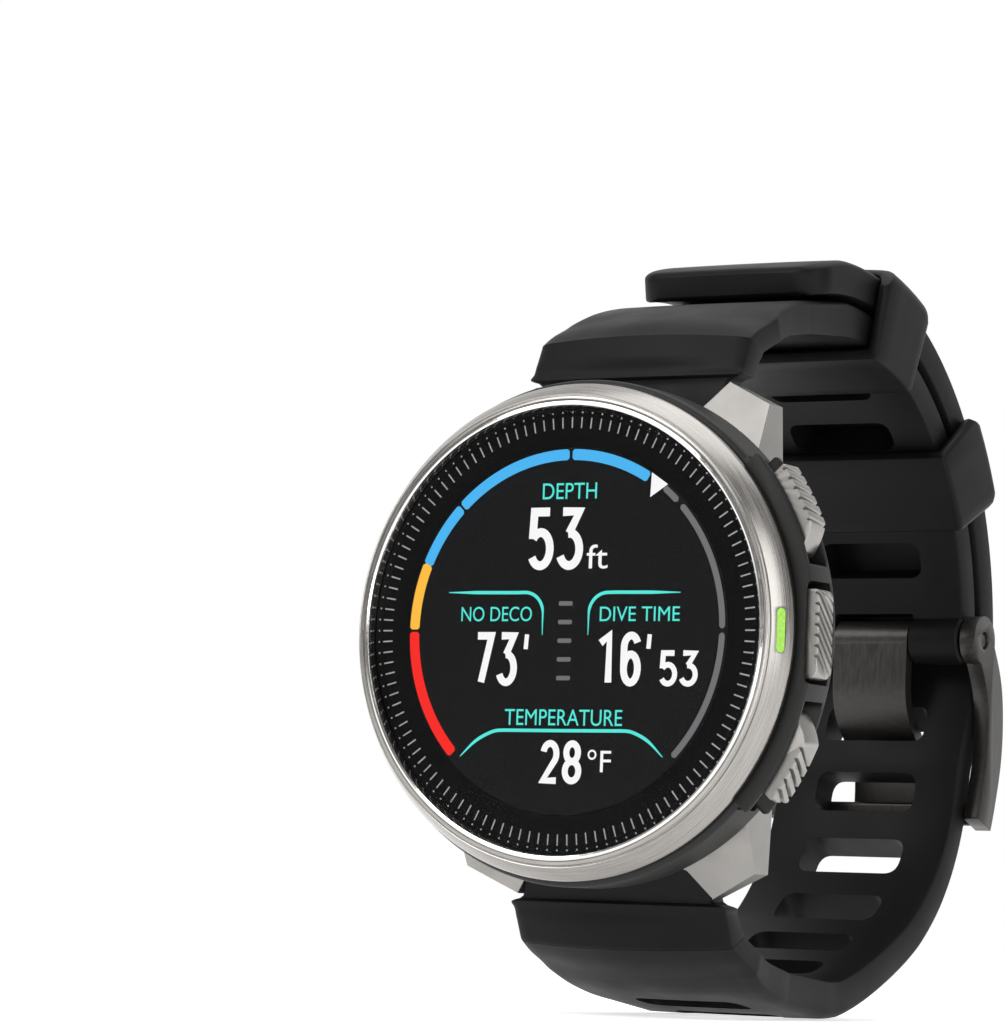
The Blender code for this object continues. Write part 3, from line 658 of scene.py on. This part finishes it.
def band(bm, r0, r1, a0, a1, soft=0.22):
    """A gauge arc with soft corners; angles are clockwise from 12 o'clock."""
    steps = max(6, int(abs(a1 - a0) / 1.5))
    lean = math.degrees(soft / r1)
    outer = [(r1 - soft, a0), (r1, a0 + lean)]
    outer += [(r1, a0 + lean + (a1 - a0 - 2 * lean) * i / steps) for i in range(1, steps + 1)]
    inner = [(r1 - soft, a1), (r0 + soft, a1), (r0, a1 - lean)]
    inner += [(r0, a1 - lean - (a1 - a0 - 2 * lean) * i / steps) for i in range(1, steps + 1)]
    points = [polar(r, 90 - a) for r, a in outer + inner + [(r0 + soft, a0)]]
    ring = [bm.verts.new((x * MM, -DISPLAY_H * MM, z * MM)) for x, z in points]
    edges = [bm.edges.new((ring[i], ring[(i + 1) % len(ring)])) for i in range(len(ring))]
    made = bmesh.ops.triangle_fill(bm, edges=edges, use_beauty=True)
    for face in made["geom"]:
        if isinstance(face, bmesh.types.BMFace):
            face.normal_update()
            if face.normal.y > 0:
                face.normal_flip()


def stroke(bm, path, half):
    """A line of even thickness, mitred at its corners, through (x, z) points; half may taper."""
    points = [Vector(point) for point in path]
    runs = [(b - a).normalized() for a, b in zip(points, points[1:])]
    sides = []
    for i, point in enumerate(points):
        before, after = runs[max(i - 1, 0)], runs[min(i, len(runs) - 1)]
        along = (before + after).normalized()
        width = half[i] if isinstance(half, list) else half
        reach = Vector((-along.y, along.x)) * width / max(0.6, along.dot(after))
        sides.append((point + reach, point - reach))
    for (a, b), (c, d) in zip(sides, sides[1:]):
        add_patch(bm, [a, c, d, b], DISPLAY_H)


def words(name, items, look):
    """Texts stretched into boxes (x0, z0)-(x1, z1)."""
    bm = bmesh.new()
    for body, (x0, z0), (x1, z1) in items:
        curve = bpy.data.curves.new("text", "FONT")
        curve.body = body
        curve.size = 1.0
        curve.resolution_u = 6
        obj = bpy.data.objects.new("text", curve)
        bpy.context.scene.collection.objects.link(obj)
        bpy.context.view_layer.update()
        graph = bpy.context.evaluated_depsgraph_get()
        mesh = bpy.data.meshes.new_from_object(obj.evaluated_get(graph))
        xs = [v.co.x for v in mesh.vertices]
        ys = [v.co.y for v in mesh.vertices]
        wide, tall = (x1 - x0) / (max(xs) - min(xs)), (z1 - z0) / (max(ys) - min(ys))
        for vert in mesh.vertices:
            x = x0 + (vert.co.x - min(xs)) * wide
            z = z0 + (vert.co.y - min(ys)) * tall
            vert.co = (x * MM, -DISPLAY_H * MM, z * MM)
        fresh = len(bm.faces)
        bm.from_mesh(mesh)
        bm.faces.ensure_lookup_table()
        for face in bm.faces[fresh:]:
            face.normal_update()
            if face.normal.y > 0:
                face.normal_flip()
        bpy.data.objects.remove(obj, do_unlink=True)
    return keep_front(name, bm, look)


def oval(x, z, rx, rz, start, end):
    return [(x + rx * a, z + rz * b) for a, b in arc(1.0, start, end, 22)]


DIGITS = {
    "1": [[(0.0, 0.84), (0.62, 1.0), (0.62, 0.0)]],
    "2": [oval(0.5, 0.72, 0.48, 0.28, 168, -38) + [(0.02, 0.0), (1.0, 0.0)]],
    "3": [[(0.05, 1.0), (0.95, 1.0), (0.42, 0.60)], oval(0.46, 0.30, 0.54, 0.30, 100, -155)],
    "5": [[(0.94, 1.0), (0.10, 1.0), (0.04, 0.50)], oval(0.48, 0.31, 0.52, 0.31, 142, -150)],
    "6": [oval(0.5, 0.74, 0.5, 0.26, 25, 180) + [(0.0, 0.30)], oval(0.5, 0.30, 0.5, 0.30, 0, 372)],
    "7": [[(0.0, 1.0), (1.0, 1.0), (0.34, 0.0)]],
    "8": [oval(0.5, 0.76, 0.43, 0.24, 0, 372), oval(0.5, 0.26, 0.5, 0.26, 0, 372)],
    "'": [[(0.7, 1.0), (0.3, 0.0)]]}


def digits(name, items):
    """Digits of even stroke: each item is its text, box and half stroke."""
    bm = bmesh.new()
    for text, x0, z0, x1, z1, half in items:
        wide = (x1 - x0 - (len(text) - 1) * 0.9 * half) / len(text)
        for i, char in enumerate(text):
            left = x0 + i * (wide + 0.9 * half)
            for path in DIGITS[char]:
                stroke(bm, [(left + half + a * (wide - 2 * half), z0 + half + b * (z1 - z0 - 2 * half))
                            for a, b in path], half)
    return keep_front(name, bm, "lit_white")


def make_screen():
    for name, r0, r1, parts in (
            ("blue", 16.95, 18.05, ((0.55, 30.6), (-44.6, -0.55), (-67.6, -45.4))),
            ("yellow", 16.95, 18.05, ((-89.6, -67.6),)), ("red", 16.95, 18.05, ((-134.5, -90.4),)),
            ("grey", 17.3, 17.95, ((37.2, 44.0), (45.9, 89.4), (90.8, 134.5)))):
        bm = bmesh.new()
        for a0, a1 in parts:
            band(bm, r0, r1, a0, a1)
        if name == "grey":
            for i in range(5):
                z = 2.68 - 1.85 * i
                outline = fillet([(-0.80, z - 0.22), (0.78, z - 0.22), (0.78, z + 0.22),
                                  (-0.80, z + 0.22)], 0.15, 3)
                add_patch(bm, outline, DISPLAY_H)
        keep_front("gauge_" + name, bm, "lit_" + name)
    bm = bmesh.new()
    add_patch(bm, [(9.25, 15.55), (11.1, 14.35), (9.15, 13.1)], DISPLAY_H + 0.02)
    keep_front("gauge_pointer", bm, "lit_white")
    words("display_titles", [
        ("DEPTH", (-3.10, 13.08), (3.10, 14.66)),
        ("NO DECO", (-12.05, 0.92), (-3.85, 2.38)),
        ("DIVE TIME", (3.92, 0.90), (12.90, 2.34)),
        ("TEMPERATURE", (-6.55, -9.42), (6.85, -7.82))], "lit_turquoise")
    digits("display_digits", [
        ("53", -4.6, 6.0, 1.75, 12.25, 0.44), ("73", -10.4, -5.55, -5.35, -0.15, 0.38),
        ("'", -4.75, -2.1, -4.0, -0.15, 0.24), ("16", 3.75, -5.52, 8.75, -0.13, 0.38),
        ("'", 9.2, -2.05, 9.95, -0.15, 0.24), ("53", 10.8, -5.5, 15.1, -1.95, 0.28),
        ("28", -2.3, -15.2, 2.45, -10.85, 0.34)])
    words("display_units", [
        ("ft", (2.2, 6.1), (4.6, 8.5)), ("°", (3.1, -12.75), (4.1, -11.75)),
        ("F", (4.55, -13.95), (5.75, -11.85))], "lit_white")
    bm = bmesh.new()
    left = [(-13.6 + 0.8 * i, 3.83 - 0.005 * i) for i in range(11)]
    left += arc(2.1, 90, 0, 10, (-4.7, 1.7)) + [(-2.6, 0.6), (-2.58, -0.45)]
    right = [(12.9 - 0.8 * i, 3.72 + 0.005 * i) for i in range(10)]
    right += arc(2.1, 90, 180, 10, (4.75, 1.65)) + [(2.65, 0.6), (2.64, -0.45)]
    below = spline([(-11.6, -12.6), (-9.8, -11.0), (-7.9, -10.08), (-6.6, -9.93)], 5)
    below += [(0.0, -9.92)] + spline([(6.7, -9.88), (8.0, -10.0), (9.8, -10.85), (11.5, -12.4)], 5)
    for path in (left, right, below):
        count = len(path)
        half = [0.04 + 0.13 * min(1, 6 * i / count, 6 * (count - 1 - i) / count)
                for i in range(count)]
        stroke(bm, path, half)
    keep_front("display_brackets", bm, "lit_turquoise")


# ---------------------------------------------------------------- buttons

def make_buttons():
    for top, name in ((1, "button_upper"), (-1, "button_lower")):
        face = arc(BUTTON_FACE_R, 22.8, 36.6, 12)
        outline = [(22.7, 7.3), (24.35, 7.55), (25.3, 9.6)] + face + [(19.6, 14.2)]
        sizes = [0.2, 0.5, 0.6] + [0.35] + [0.0] * 11 + [0.35, 0.2]
        outline = fillet([(x, z * top) for x, z in outline][::top], sizes[::top], 3)
        cap = prism(name + "_cap", outline, CAP_H0, CAP_H1, "blasted")
        bevelled(cap, 0.12, 3, 40)
        drift = -0.35 if top > 0 else 1.2
        grooves = []
        for i in range(6):
            degrees = 23.7 + 2.4 * i
            rows = []
            for h, shift in ((9.3, 0.0), (5.6, drift * 4.0)):
                row = []
                for a, r in ((-0.95, 28.25), (-0.16, 27.30), (0.16, 27.30), (0.95, 28.25)):
                    x, z = polar(r, degrees + a + shift)
                    row.append((x, -h, z * top))
                rows.append(row)
            grooves.append(sweep("tool", rows, None))
        boolean(cap, merged("tool", grooves, None))
        bake(cap, 30)
        rides(cap, name, "bead_blasted_steel", name)
        stem_piece(name, BUTTON_ANGLE * top)
    pill = fillet([(24.3, -4.5), (26.65, -4.5), (26.65, 4.3), (24.3, 4.3)], [0.2, 1.1, 1.1, 0.2], 6)
    cap = prism("button_middle_cap", pill, CAP_H0, CAP_H1, "blasted")
    bevelled(cap, 0.35, 4, 40)
    grooves = []
    for i in range(9):
        z = 5.95 - 1.02 * i
        rows = []
        for h, shift in ((9.2, 0.2), (5.2, -3.8)):
            rows.append([(27.1, -h, z + shift + 0.42), (26.2, -h, z + shift + 0.08),
                         (26.2, -h, z + shift - 0.08), (27.1, -h, z + shift - 0.42)])
        grooves.append(sweep("tool", rows, None))
    boolean(cap, merged("tool", grooves, None))
    bake(cap, 30)
    rides(cap, "button_middle", "bead_blasted_steel", "button_middle")
    stem_piece("button_middle", 0.0)


def stem_piece(name, degrees):
    stem = rod(name + "_stem", ((-7.0, 0.0), [(18.4, 0.6), (18.5, 0.7), (25.0, 0.7)]), "pin", 24)
    stem.data.transform(Matrix.Rotation(math.radians(-degrees), 4, "Y"))
    rides(stem, name, "brushed_steel")


# ---------------------------------------------------------------- strap

def section(half, thick, crown, inset, arch):
    """Cross-section of the strap as (x, share of the way out), crowned on its outer face."""
    side = 1 - crown / thick
    low = 0.35 / thick
    points = [(half - 0.35, 0.0), (half - 0.1, low * 0.3), (half, low)]
    points += [(half - inset + inset * a, side + (1 - side) * b) for a, b in arc(1.0, 0, 90, 7)]
    middle = [((half - inset) * k, 1.0) for k in (0.7, 0.45, 0.22, 0.0, -0.22, -0.45, -0.7)]
    back = [(-x, v) for x, v in reversed(points)]
    floor = [(x * (half - 0.35), 0.0) for x in (-0.55, 0.0, 0.55)]
    return [(x, v - arch / thick * v * v * (x / half) ** 2)
            for x, v in points + middle + back] + floor


def arch_at(y, z):
    """How far the outer face falls from its middle to its edges, near the lugs."""
    if abs(z) > 38.4:
        return 0.1
    rise = min(1.0, max(0.0, (abs(z) - 26.2) / 3.0))
    fade = min(1.0, max(0.0, (16.0 - y) / 12.0))
    return rise * (0.1 + 1.0 * fade * fade * (3 - 2 * fade))


def strap_rows(stations, crown=0.85, inset=1.5):
    """Stations are (inner y, inner z, outer y, outer z, half width, crown share)."""
    rows = []
    for yi, zi, yo, zo, half, share in stations:
        thick = math.hypot(yo - yi, zo - zi)
        shape = section(half, thick, max(0.12, crown * share), max(0.3, inset * share),
                        arch_at(yo, zo))
        rows.append([(x, yi + (yo - yi) * v, zi + (zo - zi) * v) for x, v in shape])
    return rows


def offset_path(path, thickness):
    out = []
    for i, (y, z) in enumerate(path):
        before, after = path[max(i - 1, 0)], path[min(i + 1, len(path) - 1)]
        dy, dz = after[0] - before[0], after[1] - before[1]
        size = math.hypot(dy, dz)
        out.append((y, z, y - dz / size * thickness, z + dy / size * thickness))
    return out


ROOT = [(1.2, 20.5, -0.3, 20.5, 10.9, 0.2), (2.2, 21.3, -0.95, 21.3, 10.9, 0.3),
        (2.4, 22.6, -1.25, 22.6, 10.9, 0.3), (2.7, 24.2, -0.35, 24.2, 10.9, 0.3),
        (3.15, 26.1, 0.3, 26.1, 10.95, 0.4)]
NECK = [(3.5, 26.7, 0.0, 26.7, 12.3, 0.5), (3.75, 27.2, 0.25, 27.5, FLARE_W, 0.7),
        (4.2, 28.0, 0.35, 29.0, FLARE_W, 0.9), (5.1, 29.0, 1.1, 30.9, FLARE_W, 1.0),
        (5.33, 29.37, 1.38, 31.26, FLARE_W, 1.0)]
BEND = [(5.36, 29.42, 1.41, 31.3, FLARE_W, 1.0), (6.6, 30.0, 3.6, 32.75, FLARE_W, 1.0)]


def shoulder():
    path = spline([(8.2, 30.7), (11.6, 31.9), (18.0, 33.0)], 3)
    rows = offset_path(path, SHOULDER_T)
    return [(*row, FLARE_W - 0.25 * max(0, i - 1), 1.0) for i, row in enumerate(rows)]


def arc_stations(radius, start, end, steps, centre, thickness, width=None):
    rows = offset_path(arc(radius, start, end, steps, centre), thickness)
    return [(*row, max(STRAP_W, width - 0.04 * i), 1.0) for i, row in enumerate(rows)]


def flipped(stations):
    return [(yi, -zi, yo, -zo, half, share) for yi, zi, yo, zo, half, share in stations]


def slot_tools(radius, top, numbers, reach=6.0):
    tools = []
    for number in numbers:
        degrees = SLOT_FIRST + SLOT_STEP * number
        outline = fillet([(-6.1, -2.0), (6.1, -2.0), (6.1, 2.0), (-6.1, 2.0)], 1.5, 6)
        bm = bmesh.new()
        out_y, out_z = polar(1.0, degrees)
        run_y, run_z = polar(1.0, degrees + 90)
        rows = []
        for level, flare in ((-reach, 1.0), (reach, 1.0 if top > 0 else 1.35)):
            rows.append([bm.verts.new((
                x * MM, (LOOP_Y + out_y * (radius + level) + run_y * t * flare) * MM,
                (LOOP_Z + out_z * (radius + level) + run_z * t * flare) * top * MM))
                for x, t in outline])
        for i in range(len(outline)):
            j = (i + 1) % len(outline)
            bm.faces.new((rows[0][i], rows[0][j], rows[1][j], rows[1][i]))
        bm.faces.new(rows[0][::-1])
        bm.faces.new(rows[1])
        tools.append(finish_mesh("tool", bm, None))
    return tools


def make_strap_short():
    centre = (LOOP_Y, LOOP_Z)
    stations = spline(ROOT + NECK[:-1] + BEND + shoulder(), 3)
    stations += arc_stations(STRAP_IN_R, 92, 2, 60, centre, STRAP_T, 11.1)
    strap = sweep("strap_short_half", strap_rows(stations), "silicone", 28)
    knuckle = rod("tool", ((PIN_Y, PIN_Z), [(-STRAP_W, 2.45), (-10.55, 2.7), (10.55, 2.7),
                                         (STRAP_W, 2.45)]), None, 48)
    boolean(strap, knuckle, "UNION")
    bore = rod("tool", ((PIN_Y, PIN_Z), [(-14, 1.2), (14, 1.2)]), None, 32)
    boolean(strap, bore)
    hub = fillet([(-4.9, 0.0), (4.9, 0.0), (4.9, 7.0), (-4.9, 7.0)], 0.5, 3)
    boolean(strap, prism("tool", hub, -66.0, -50.0, None))
    for tool in slot_tools(STRAP_IN_R + 2, 1, range(5)):
        boolean(strap, tool)
    for tool in slot_tools(STRAP_IN_R + 5.2, 1, (6,), 2.0):
        boolean(strap, tool)
    for tool in bar_tools(1):
        boolean(strap, tool)
    bake(strap, 28)
    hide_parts("strap_short", "strap_short_root")
    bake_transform(strap)


def bar_tools(top):
    """Rooms for the spring bar and for its release lever."""
    z = BAR_Z * top
    bore = rod("tool", ((0.0, z), [(-14, BAR_BORE_R), (14, BAR_BORE_R)]), None, 32)
    low, high = z - 1.2, z + 1.2
    room = fillet([(5.0, low), (9.4, low), (9.4, high), (5.0, high)], 0.4, 3)
    return [bore, prism("tool", room, -5.0, 0.0, None)]


def make_strap_long():
    root = sweep("strap_long_anchor", strap_rows(spline(flipped(ROOT + NECK), 3)), "silicone", 28)
    for tool in bar_tools(-1):
        boolean(root, tool)
    bake(root, 28)
    rides(root, "strap_root_lower", "silicone", "strap_long_root")
    low = []
    for i in range(53):
        a = -92 + 80 * i / 52
        bulge = 0.5 * math.sin(math.pi * min(1, max(0, (a + 50) / 38)))
        pull = 0.75 * math.sin(math.pi * min(1, max(0, (a + 86) / 36)))
        low.append(polar(STRAP_IN_R + bulge - pull, a, (LOOP_Y, -LOOP_Z)))
    high = arc(TAIL_IN_R, 2, 97, 70, (LOOP_Y, LOOP_Z))
    path = low + hermite(low[-1], polar(1, 78), high[0], polar(1, 92), 11.0, 14) + high
    path += [polar(TAIL_IN_R, 97 + 6 * math.sin(math.pi / 2 * i / 12), (LOOP_Y, LOOP_Z))
             for i in range(1, 13)]
    stations = spline(flipped(BEND + shoulder()), 3)
    end = Vector(path[-1])
    for i, (yi, zi, yo, zo) in enumerate(offset_path(path, -STRAP_T)):
        left = (Vector((yi, zi)) - end).length
        half = max(11.0, 11.1 - 0.04 * i)
        near = max(0.0, TIP_ROUND - left)
        half -= TIP_ROUND - math.sqrt(TIP_ROUND ** 2 - near ** 2)
        thin = 1 - 0.22 * max(0.0, 1 - left / 7.0)
        soft = 0.12 * max(0.0, 1 - left / 0.7) ** 2
        stations.append((yi + (yo - yi) * soft, zi + (zo - zi) * soft,
                         yi + (yo - yi) * (thin - soft), zi + (zo - zi) * (thin - soft), half, 1.0))
    strap = sweep("strap_long_half", strap_rows(stations), "silicone", 28)
    for tool in slot_tools(STRAP_IN_R + 2, -1, range(7)):
        boolean(strap, tool)
    outline = fillet([(-6.1, -2.0), (6.1, -2.0), (6.1, 2.0), (-6.1, 2.0)], 1.25, 6)
    tool = prism("tool", outline, -8.0, 8.0, None)
    tool.data.transform(Matrix.Translation((0, 0.060, -0.0067))
                        @ Matrix.Rotation(math.radians(-39), 4, "X"))
    boolean(strap, tool)
    bake(strap, 28)
    rides(strap, "strap_loop", "silicone", "strap_long")


def hermite(start, start_dir, end, end_dir, reach, steps):
    out = []
    for i in range(1, steps):
        t = i / steps
        a, b = 2 * t ** 3 - 3 * t ** 2 + 1, t ** 3 - 2 * t ** 2 + t
        c, d = -2 * t ** 3 + 3 * t ** 2, t ** 3 - t ** 2
        out.append(tuple(a * p + b * reach * u + c * q + d * reach * v
                         for p, u, q, v in zip(start, start_dir, end, end_dir)))
    return out


def make_keeper(name, degrees):
    """A moulded band: chamfered outer corners, its upper end slanted towards the outside."""
    stops = [(0.0, 0.45, 0.30), (0.018, 0.12, 0.08), (0.05, 0.0, 0.0), (0.3, 0.0, 0.0),
             (0.5, 0.0, 0.0), (0.7, 0.0, 0.0), (0.86, 0.0, 0.0), (0.95, 0.0, 0.0),
             (0.982, 0.12, 0.08), (1.0, 0.45, 0.30)]
    half_outer = [(12.4, 28.1), (12.6, 38.1), (10.6, 39.6), (5.0, 40.0)]
    half_inner = [(11.3, 29.45), (11.3, 37.3), (10.1, 38.55), (5.0, 38.6)]
    corner = [0.6, 1.6, 1.6, 1.2]
    shells = []
    bm = bmesh.new()
    for half, sign, column in ((half_outer, -1, 1), (half_inner, 1, 2)):
        rows = []
        for stop in stops:
            trim = sign * stop[column]
            loop = []
            for x, r in half:
                loop.append((x + trim, r + (trim if r > 34 else -trim)))
            loop += [(-x, r) for x, r in reversed(loop)]
            row = []
            for x, r in fillet(loop, corner + corner[::-1], 5):
                upper = 9.8 - 6.6 * min(1.0, max(0.0, (r - 35.0) / 4.6)) ** 1.3
                lower = -9.2 + 1.8 * min(1.0, max(0.0, (r - 36.3) / 2.2))
                angle = degrees + upper + (lower - upper) * stop[0]
                y, z = polar(r, angle, (LOOP_Y, LOOP_Z))
                row.append(bm.verts.new((x * MM, y * MM, z * MM)))
            rows.append(row)
        shells.append(rows)
    count = len(shells[0][0])
    for shell in shells:
        for first, second in zip(shell, shell[1:]):
            for i in range(count):
                j = (i + 1) % count
                bm.faces.new((first[i], first[j], second[j], second[i]))
    for end in (0, -1):
        for i in range(count):
            j = (i + 1) % count
            bm.faces.new((shells[0][end][i], shells[0][end][j], shells[1][end][j],
                          shells[1][end][i]))
    keeper = finish_mesh(name + "_band", bm, "silicone", 35)
    rides(keeper, name, "silicone", name)


# ---------------------------------------------------------------- buckle

def ribbon(line, widths):
    left, right = [], []
    for i, ((y, z), half) in enumerate(zip(line, widths)):
        before, after = line[max(i - 1, 0)], line[min(i + 1, len(line) - 1)]
        dy, dz = after[0] - before[0], after[1] - before[1]
        size = math.hypot(dy, dz)
        left.append((y - dz / size * half, z + dy / size * half))
        right.append((y + dz / size * half, z - dy / size * half))
    return left + right[::-1]


def make_buckle():
    line = spline([(PIN_Y, PIN_Z), (60.9, -0.5), (61.7, -4.6), (61.5, -9.0), (60.3, -13.6),
                   (59.4, -16.2)], 6)
    arm = ribbon(line, [1.95 - 0.006 * i for i in range(len(line))])
    pieces = []
    for side in (1, -1):
        x0, x1 = sorted((side * 11.2, side * 13.0))
        plate = prism("arm", arm, x0, x1, "dark", "x")
        end = prism("tool", arc(2.7, 0, 360, 48, (PIN_Y, PIN_Z))[:-1], x0, x1, None, "x")
        boolean(plate, end, "UNION")
        boolean(plate, prism("tool", arc(1.0, 0, 360, 32, (PIN_Y, PIN_Z))[:-1], x0 - 1, x1 + 1, None,
                             "x"))
        bake(plate)
        bevelled(plate, 0.3, 3, 40)
        pieces.append(plate)
    bar = prism("bar", fillet([(60.0, -16.3), (61.6, -16.3), (61.6, -13.9), (60.0, -13.9)], 0.4, 4),
                -12.0, 12.0, "dark", "x")
    pieces.append(bar)
    rides(merged("buckle_frame_arms", pieces, "dark"), "buckle_frame", "dark_steel",
          "buckle_frame")
    pin = rod("buckle_pin_bar", ((PIN_Y, PIN_Z), [
        (-12.75, 0.35), (-12.8, 0.5), (-12.75, 0.75), (-12.6, 0.88), (12.6, 0.88), (12.75, 0.75),
        (12.8, 0.5), (12.75, 0.35)]), "dark", 32)
    rides(pin, "strap_loop", "brushed_steel", "buckle_pin")
    plate = spline([(56.8, 3.6), (56.8, -1.8), (57.9, -4.6), (60.6, -7.4), (62.9, -10.6),
                    (63.0, -15.9)], 6)
    outline = ribbon(plate, [0.75] * len(plate))
    tongue = prism("tongue_plate", outline, -4.5, 4.5, "dark", "x")
    boolean(tongue, prism("tool", arc(2.2, 0, 360, 48, (PIN_Y, PIN_Z))[:-1], -4.5, 4.5, None, "x"),
            "UNION")
    boolean(tongue, prism("tool", arc(1.05, 0, 360, 32, (PIN_Y, PIN_Z))[:-1], -6, 6, None, "x"))
    bake(tongue)
    bevelled(tongue, 0.25, 3, 40)
    rides(tongue, "buckle_tongue", "dark_steel", "buckle_tongue")


# ---------------------------------------------------------------- CAD pieces that stay

def dress_cad():
    looks = {"back": ("case_back", "pressure_port_cover"),
             "blasted": ("case_back_screw_1", "case_back_screw_2", "case_back_screw_3",
                         "case_back_screw_4", "vibration_motor", "pressure_sensor"),
             "pin": ("spring_bar_upper", "spring_bar_lower", "release_lever_upper",
                     "release_lever_lower", "button_upper_bushing", "button_middle_bushing",
                     "button_lower_bushing"),
             "seal": ("crystal_gasket", "bezel_seal", "case_back_seal", "button_upper_seal",
                      "button_middle_seal", "button_lower_seal"),
             "board": ("main_board", "button_upper_switch", "button_middle_switch",
                       "button_lower_switch"),
             "cell": ("battery",), "polymer": ("display_carrier",),
             "gold": ("antenna", "charging_contact_1", "charging_contact_2",
                      "charging_contact_3", "charging_contact_4")}
    for look, nodes in looks.items():
        for node in nodes:
            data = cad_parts[node].data
            data.materials.clear()
            data.materials.append(LOOK[look])


# ---------------------------------------------------------------- stage

def area_light(name, place, target, size, power, colour=(1, 1, 1), height=None):
    data = bpy.data.lights.new(name, "AREA")
    data.energy = power
    data.color = colour
    data.shape = "RECTANGLE"
    data.size = size
    data.size_y = height or size
    obj = bpy.data.objects.new(name, data)
    obj.location = place
    obj.rotation_euler = (Vector(target) - Vector(place)).to_track_quat("-Z", "Y").to_euler()
    bpy.context.scene.collection.objects.link(obj)


def make_stage():
    bm = bmesh.new()
    for x, y in ((-4, -4), (4, -4), (4, 4), (-4, 4)):
        bm.verts.new((x, y, -0.0379))
    bm.faces.new(bm.verts)
    ground = finish_mesh("floor", bm, "floor")

    world = bpy.data.worlds.new("studio")
    bpy.context.scene.world = world
    world.use_nodes = True
    tree = world.node_tree
    background = tree.nodes["Background"]
    background.inputs["Color"].default_value = (1.0, 1.0, 1.0, 1.0)
    coords = tree.nodes.new("ShaderNodeTexCoord")
    along = tree.nodes.new("ShaderNodeVectorMath")
    along.operation = "DOT_PRODUCT"
    along.inputs[1].default_value = (-0.45, 0.89, 0.05)
    spread = tree.nodes.new("ShaderNodeMapRange")
    spread.inputs["From Min"].default_value = -0.2
    spread.inputs["From Max"].default_value = 0.85
    spread.inputs["To Min"].default_value = 0.26
    spread.inputs["To Max"].default_value = 1.0
    tree.links.new(coords.outputs["Generated"], along.inputs[0])
    tree.links.new(along.outputs["Value"], spread.inputs["Value"])
    tree.links.new(spread.outputs["Result"], background.inputs["Strength"])

    middle = (0, 0.01, 0)
    area_light("key", (-0.25, -0.55, 0.50), middle, 0.45, 3.0)
    area_light("side", (0.55, -0.15, 0.10), middle, 0.20, 1.2, height=0.6)
    area_light("below", (0.20, -0.55, -0.02), middle, 0.5, 0.8, height=0.06)
    area_light("top", (0.05, 0.10, 0.60), middle, 0.5, 1.5)


def make_camera():
    data = bpy.data.cameras.new("view")
    data.sensor_fit = "HORIZONTAL"
    data.sensor_width = 36.0
    data.lens = 163.58
    data.clip_start = 0.01
    azimuth, tilt, roll = (math.radians(v) for v in (31.047, -5.210, 2.152))
    back = Vector((math.sin(azimuth) * math.cos(tilt), -math.cos(azimuth) * math.cos(tilt),
                   math.sin(tilt)))
    right = Vector((math.cos(azimuth), math.sin(azimuth), 0))
    up = back.cross(right)
    turned = right * math.cos(roll) + up * math.sin(roll)
    up = up * math.cos(roll) - right * math.sin(roll)
    rows = Matrix((turned, up, back)).transposed().to_4x4()
    rows.translation = Vector((0.22687, -0.40147, -0.02959))
    camera = bpy.data.objects.new("view", data)
    camera.matrix_world = rows
    bpy.context.scene.collection.objects.link(camera)
    bpy.context.scene.camera = camera


bpy.context.scene.view_settings.view_transform = "Standard"
make_case()
make_bezel()
make_lugs()
make_crystal()
make_screen()
make_buttons()
make_strap_short()
make_strap_long()
for keeper_name, keeper_degrees in KEEPER_ANGLES.items():
    make_keeper(keeper_name, keeper_degrees)
make_buckle()
dress_cad()
make_stage()
make_camera()
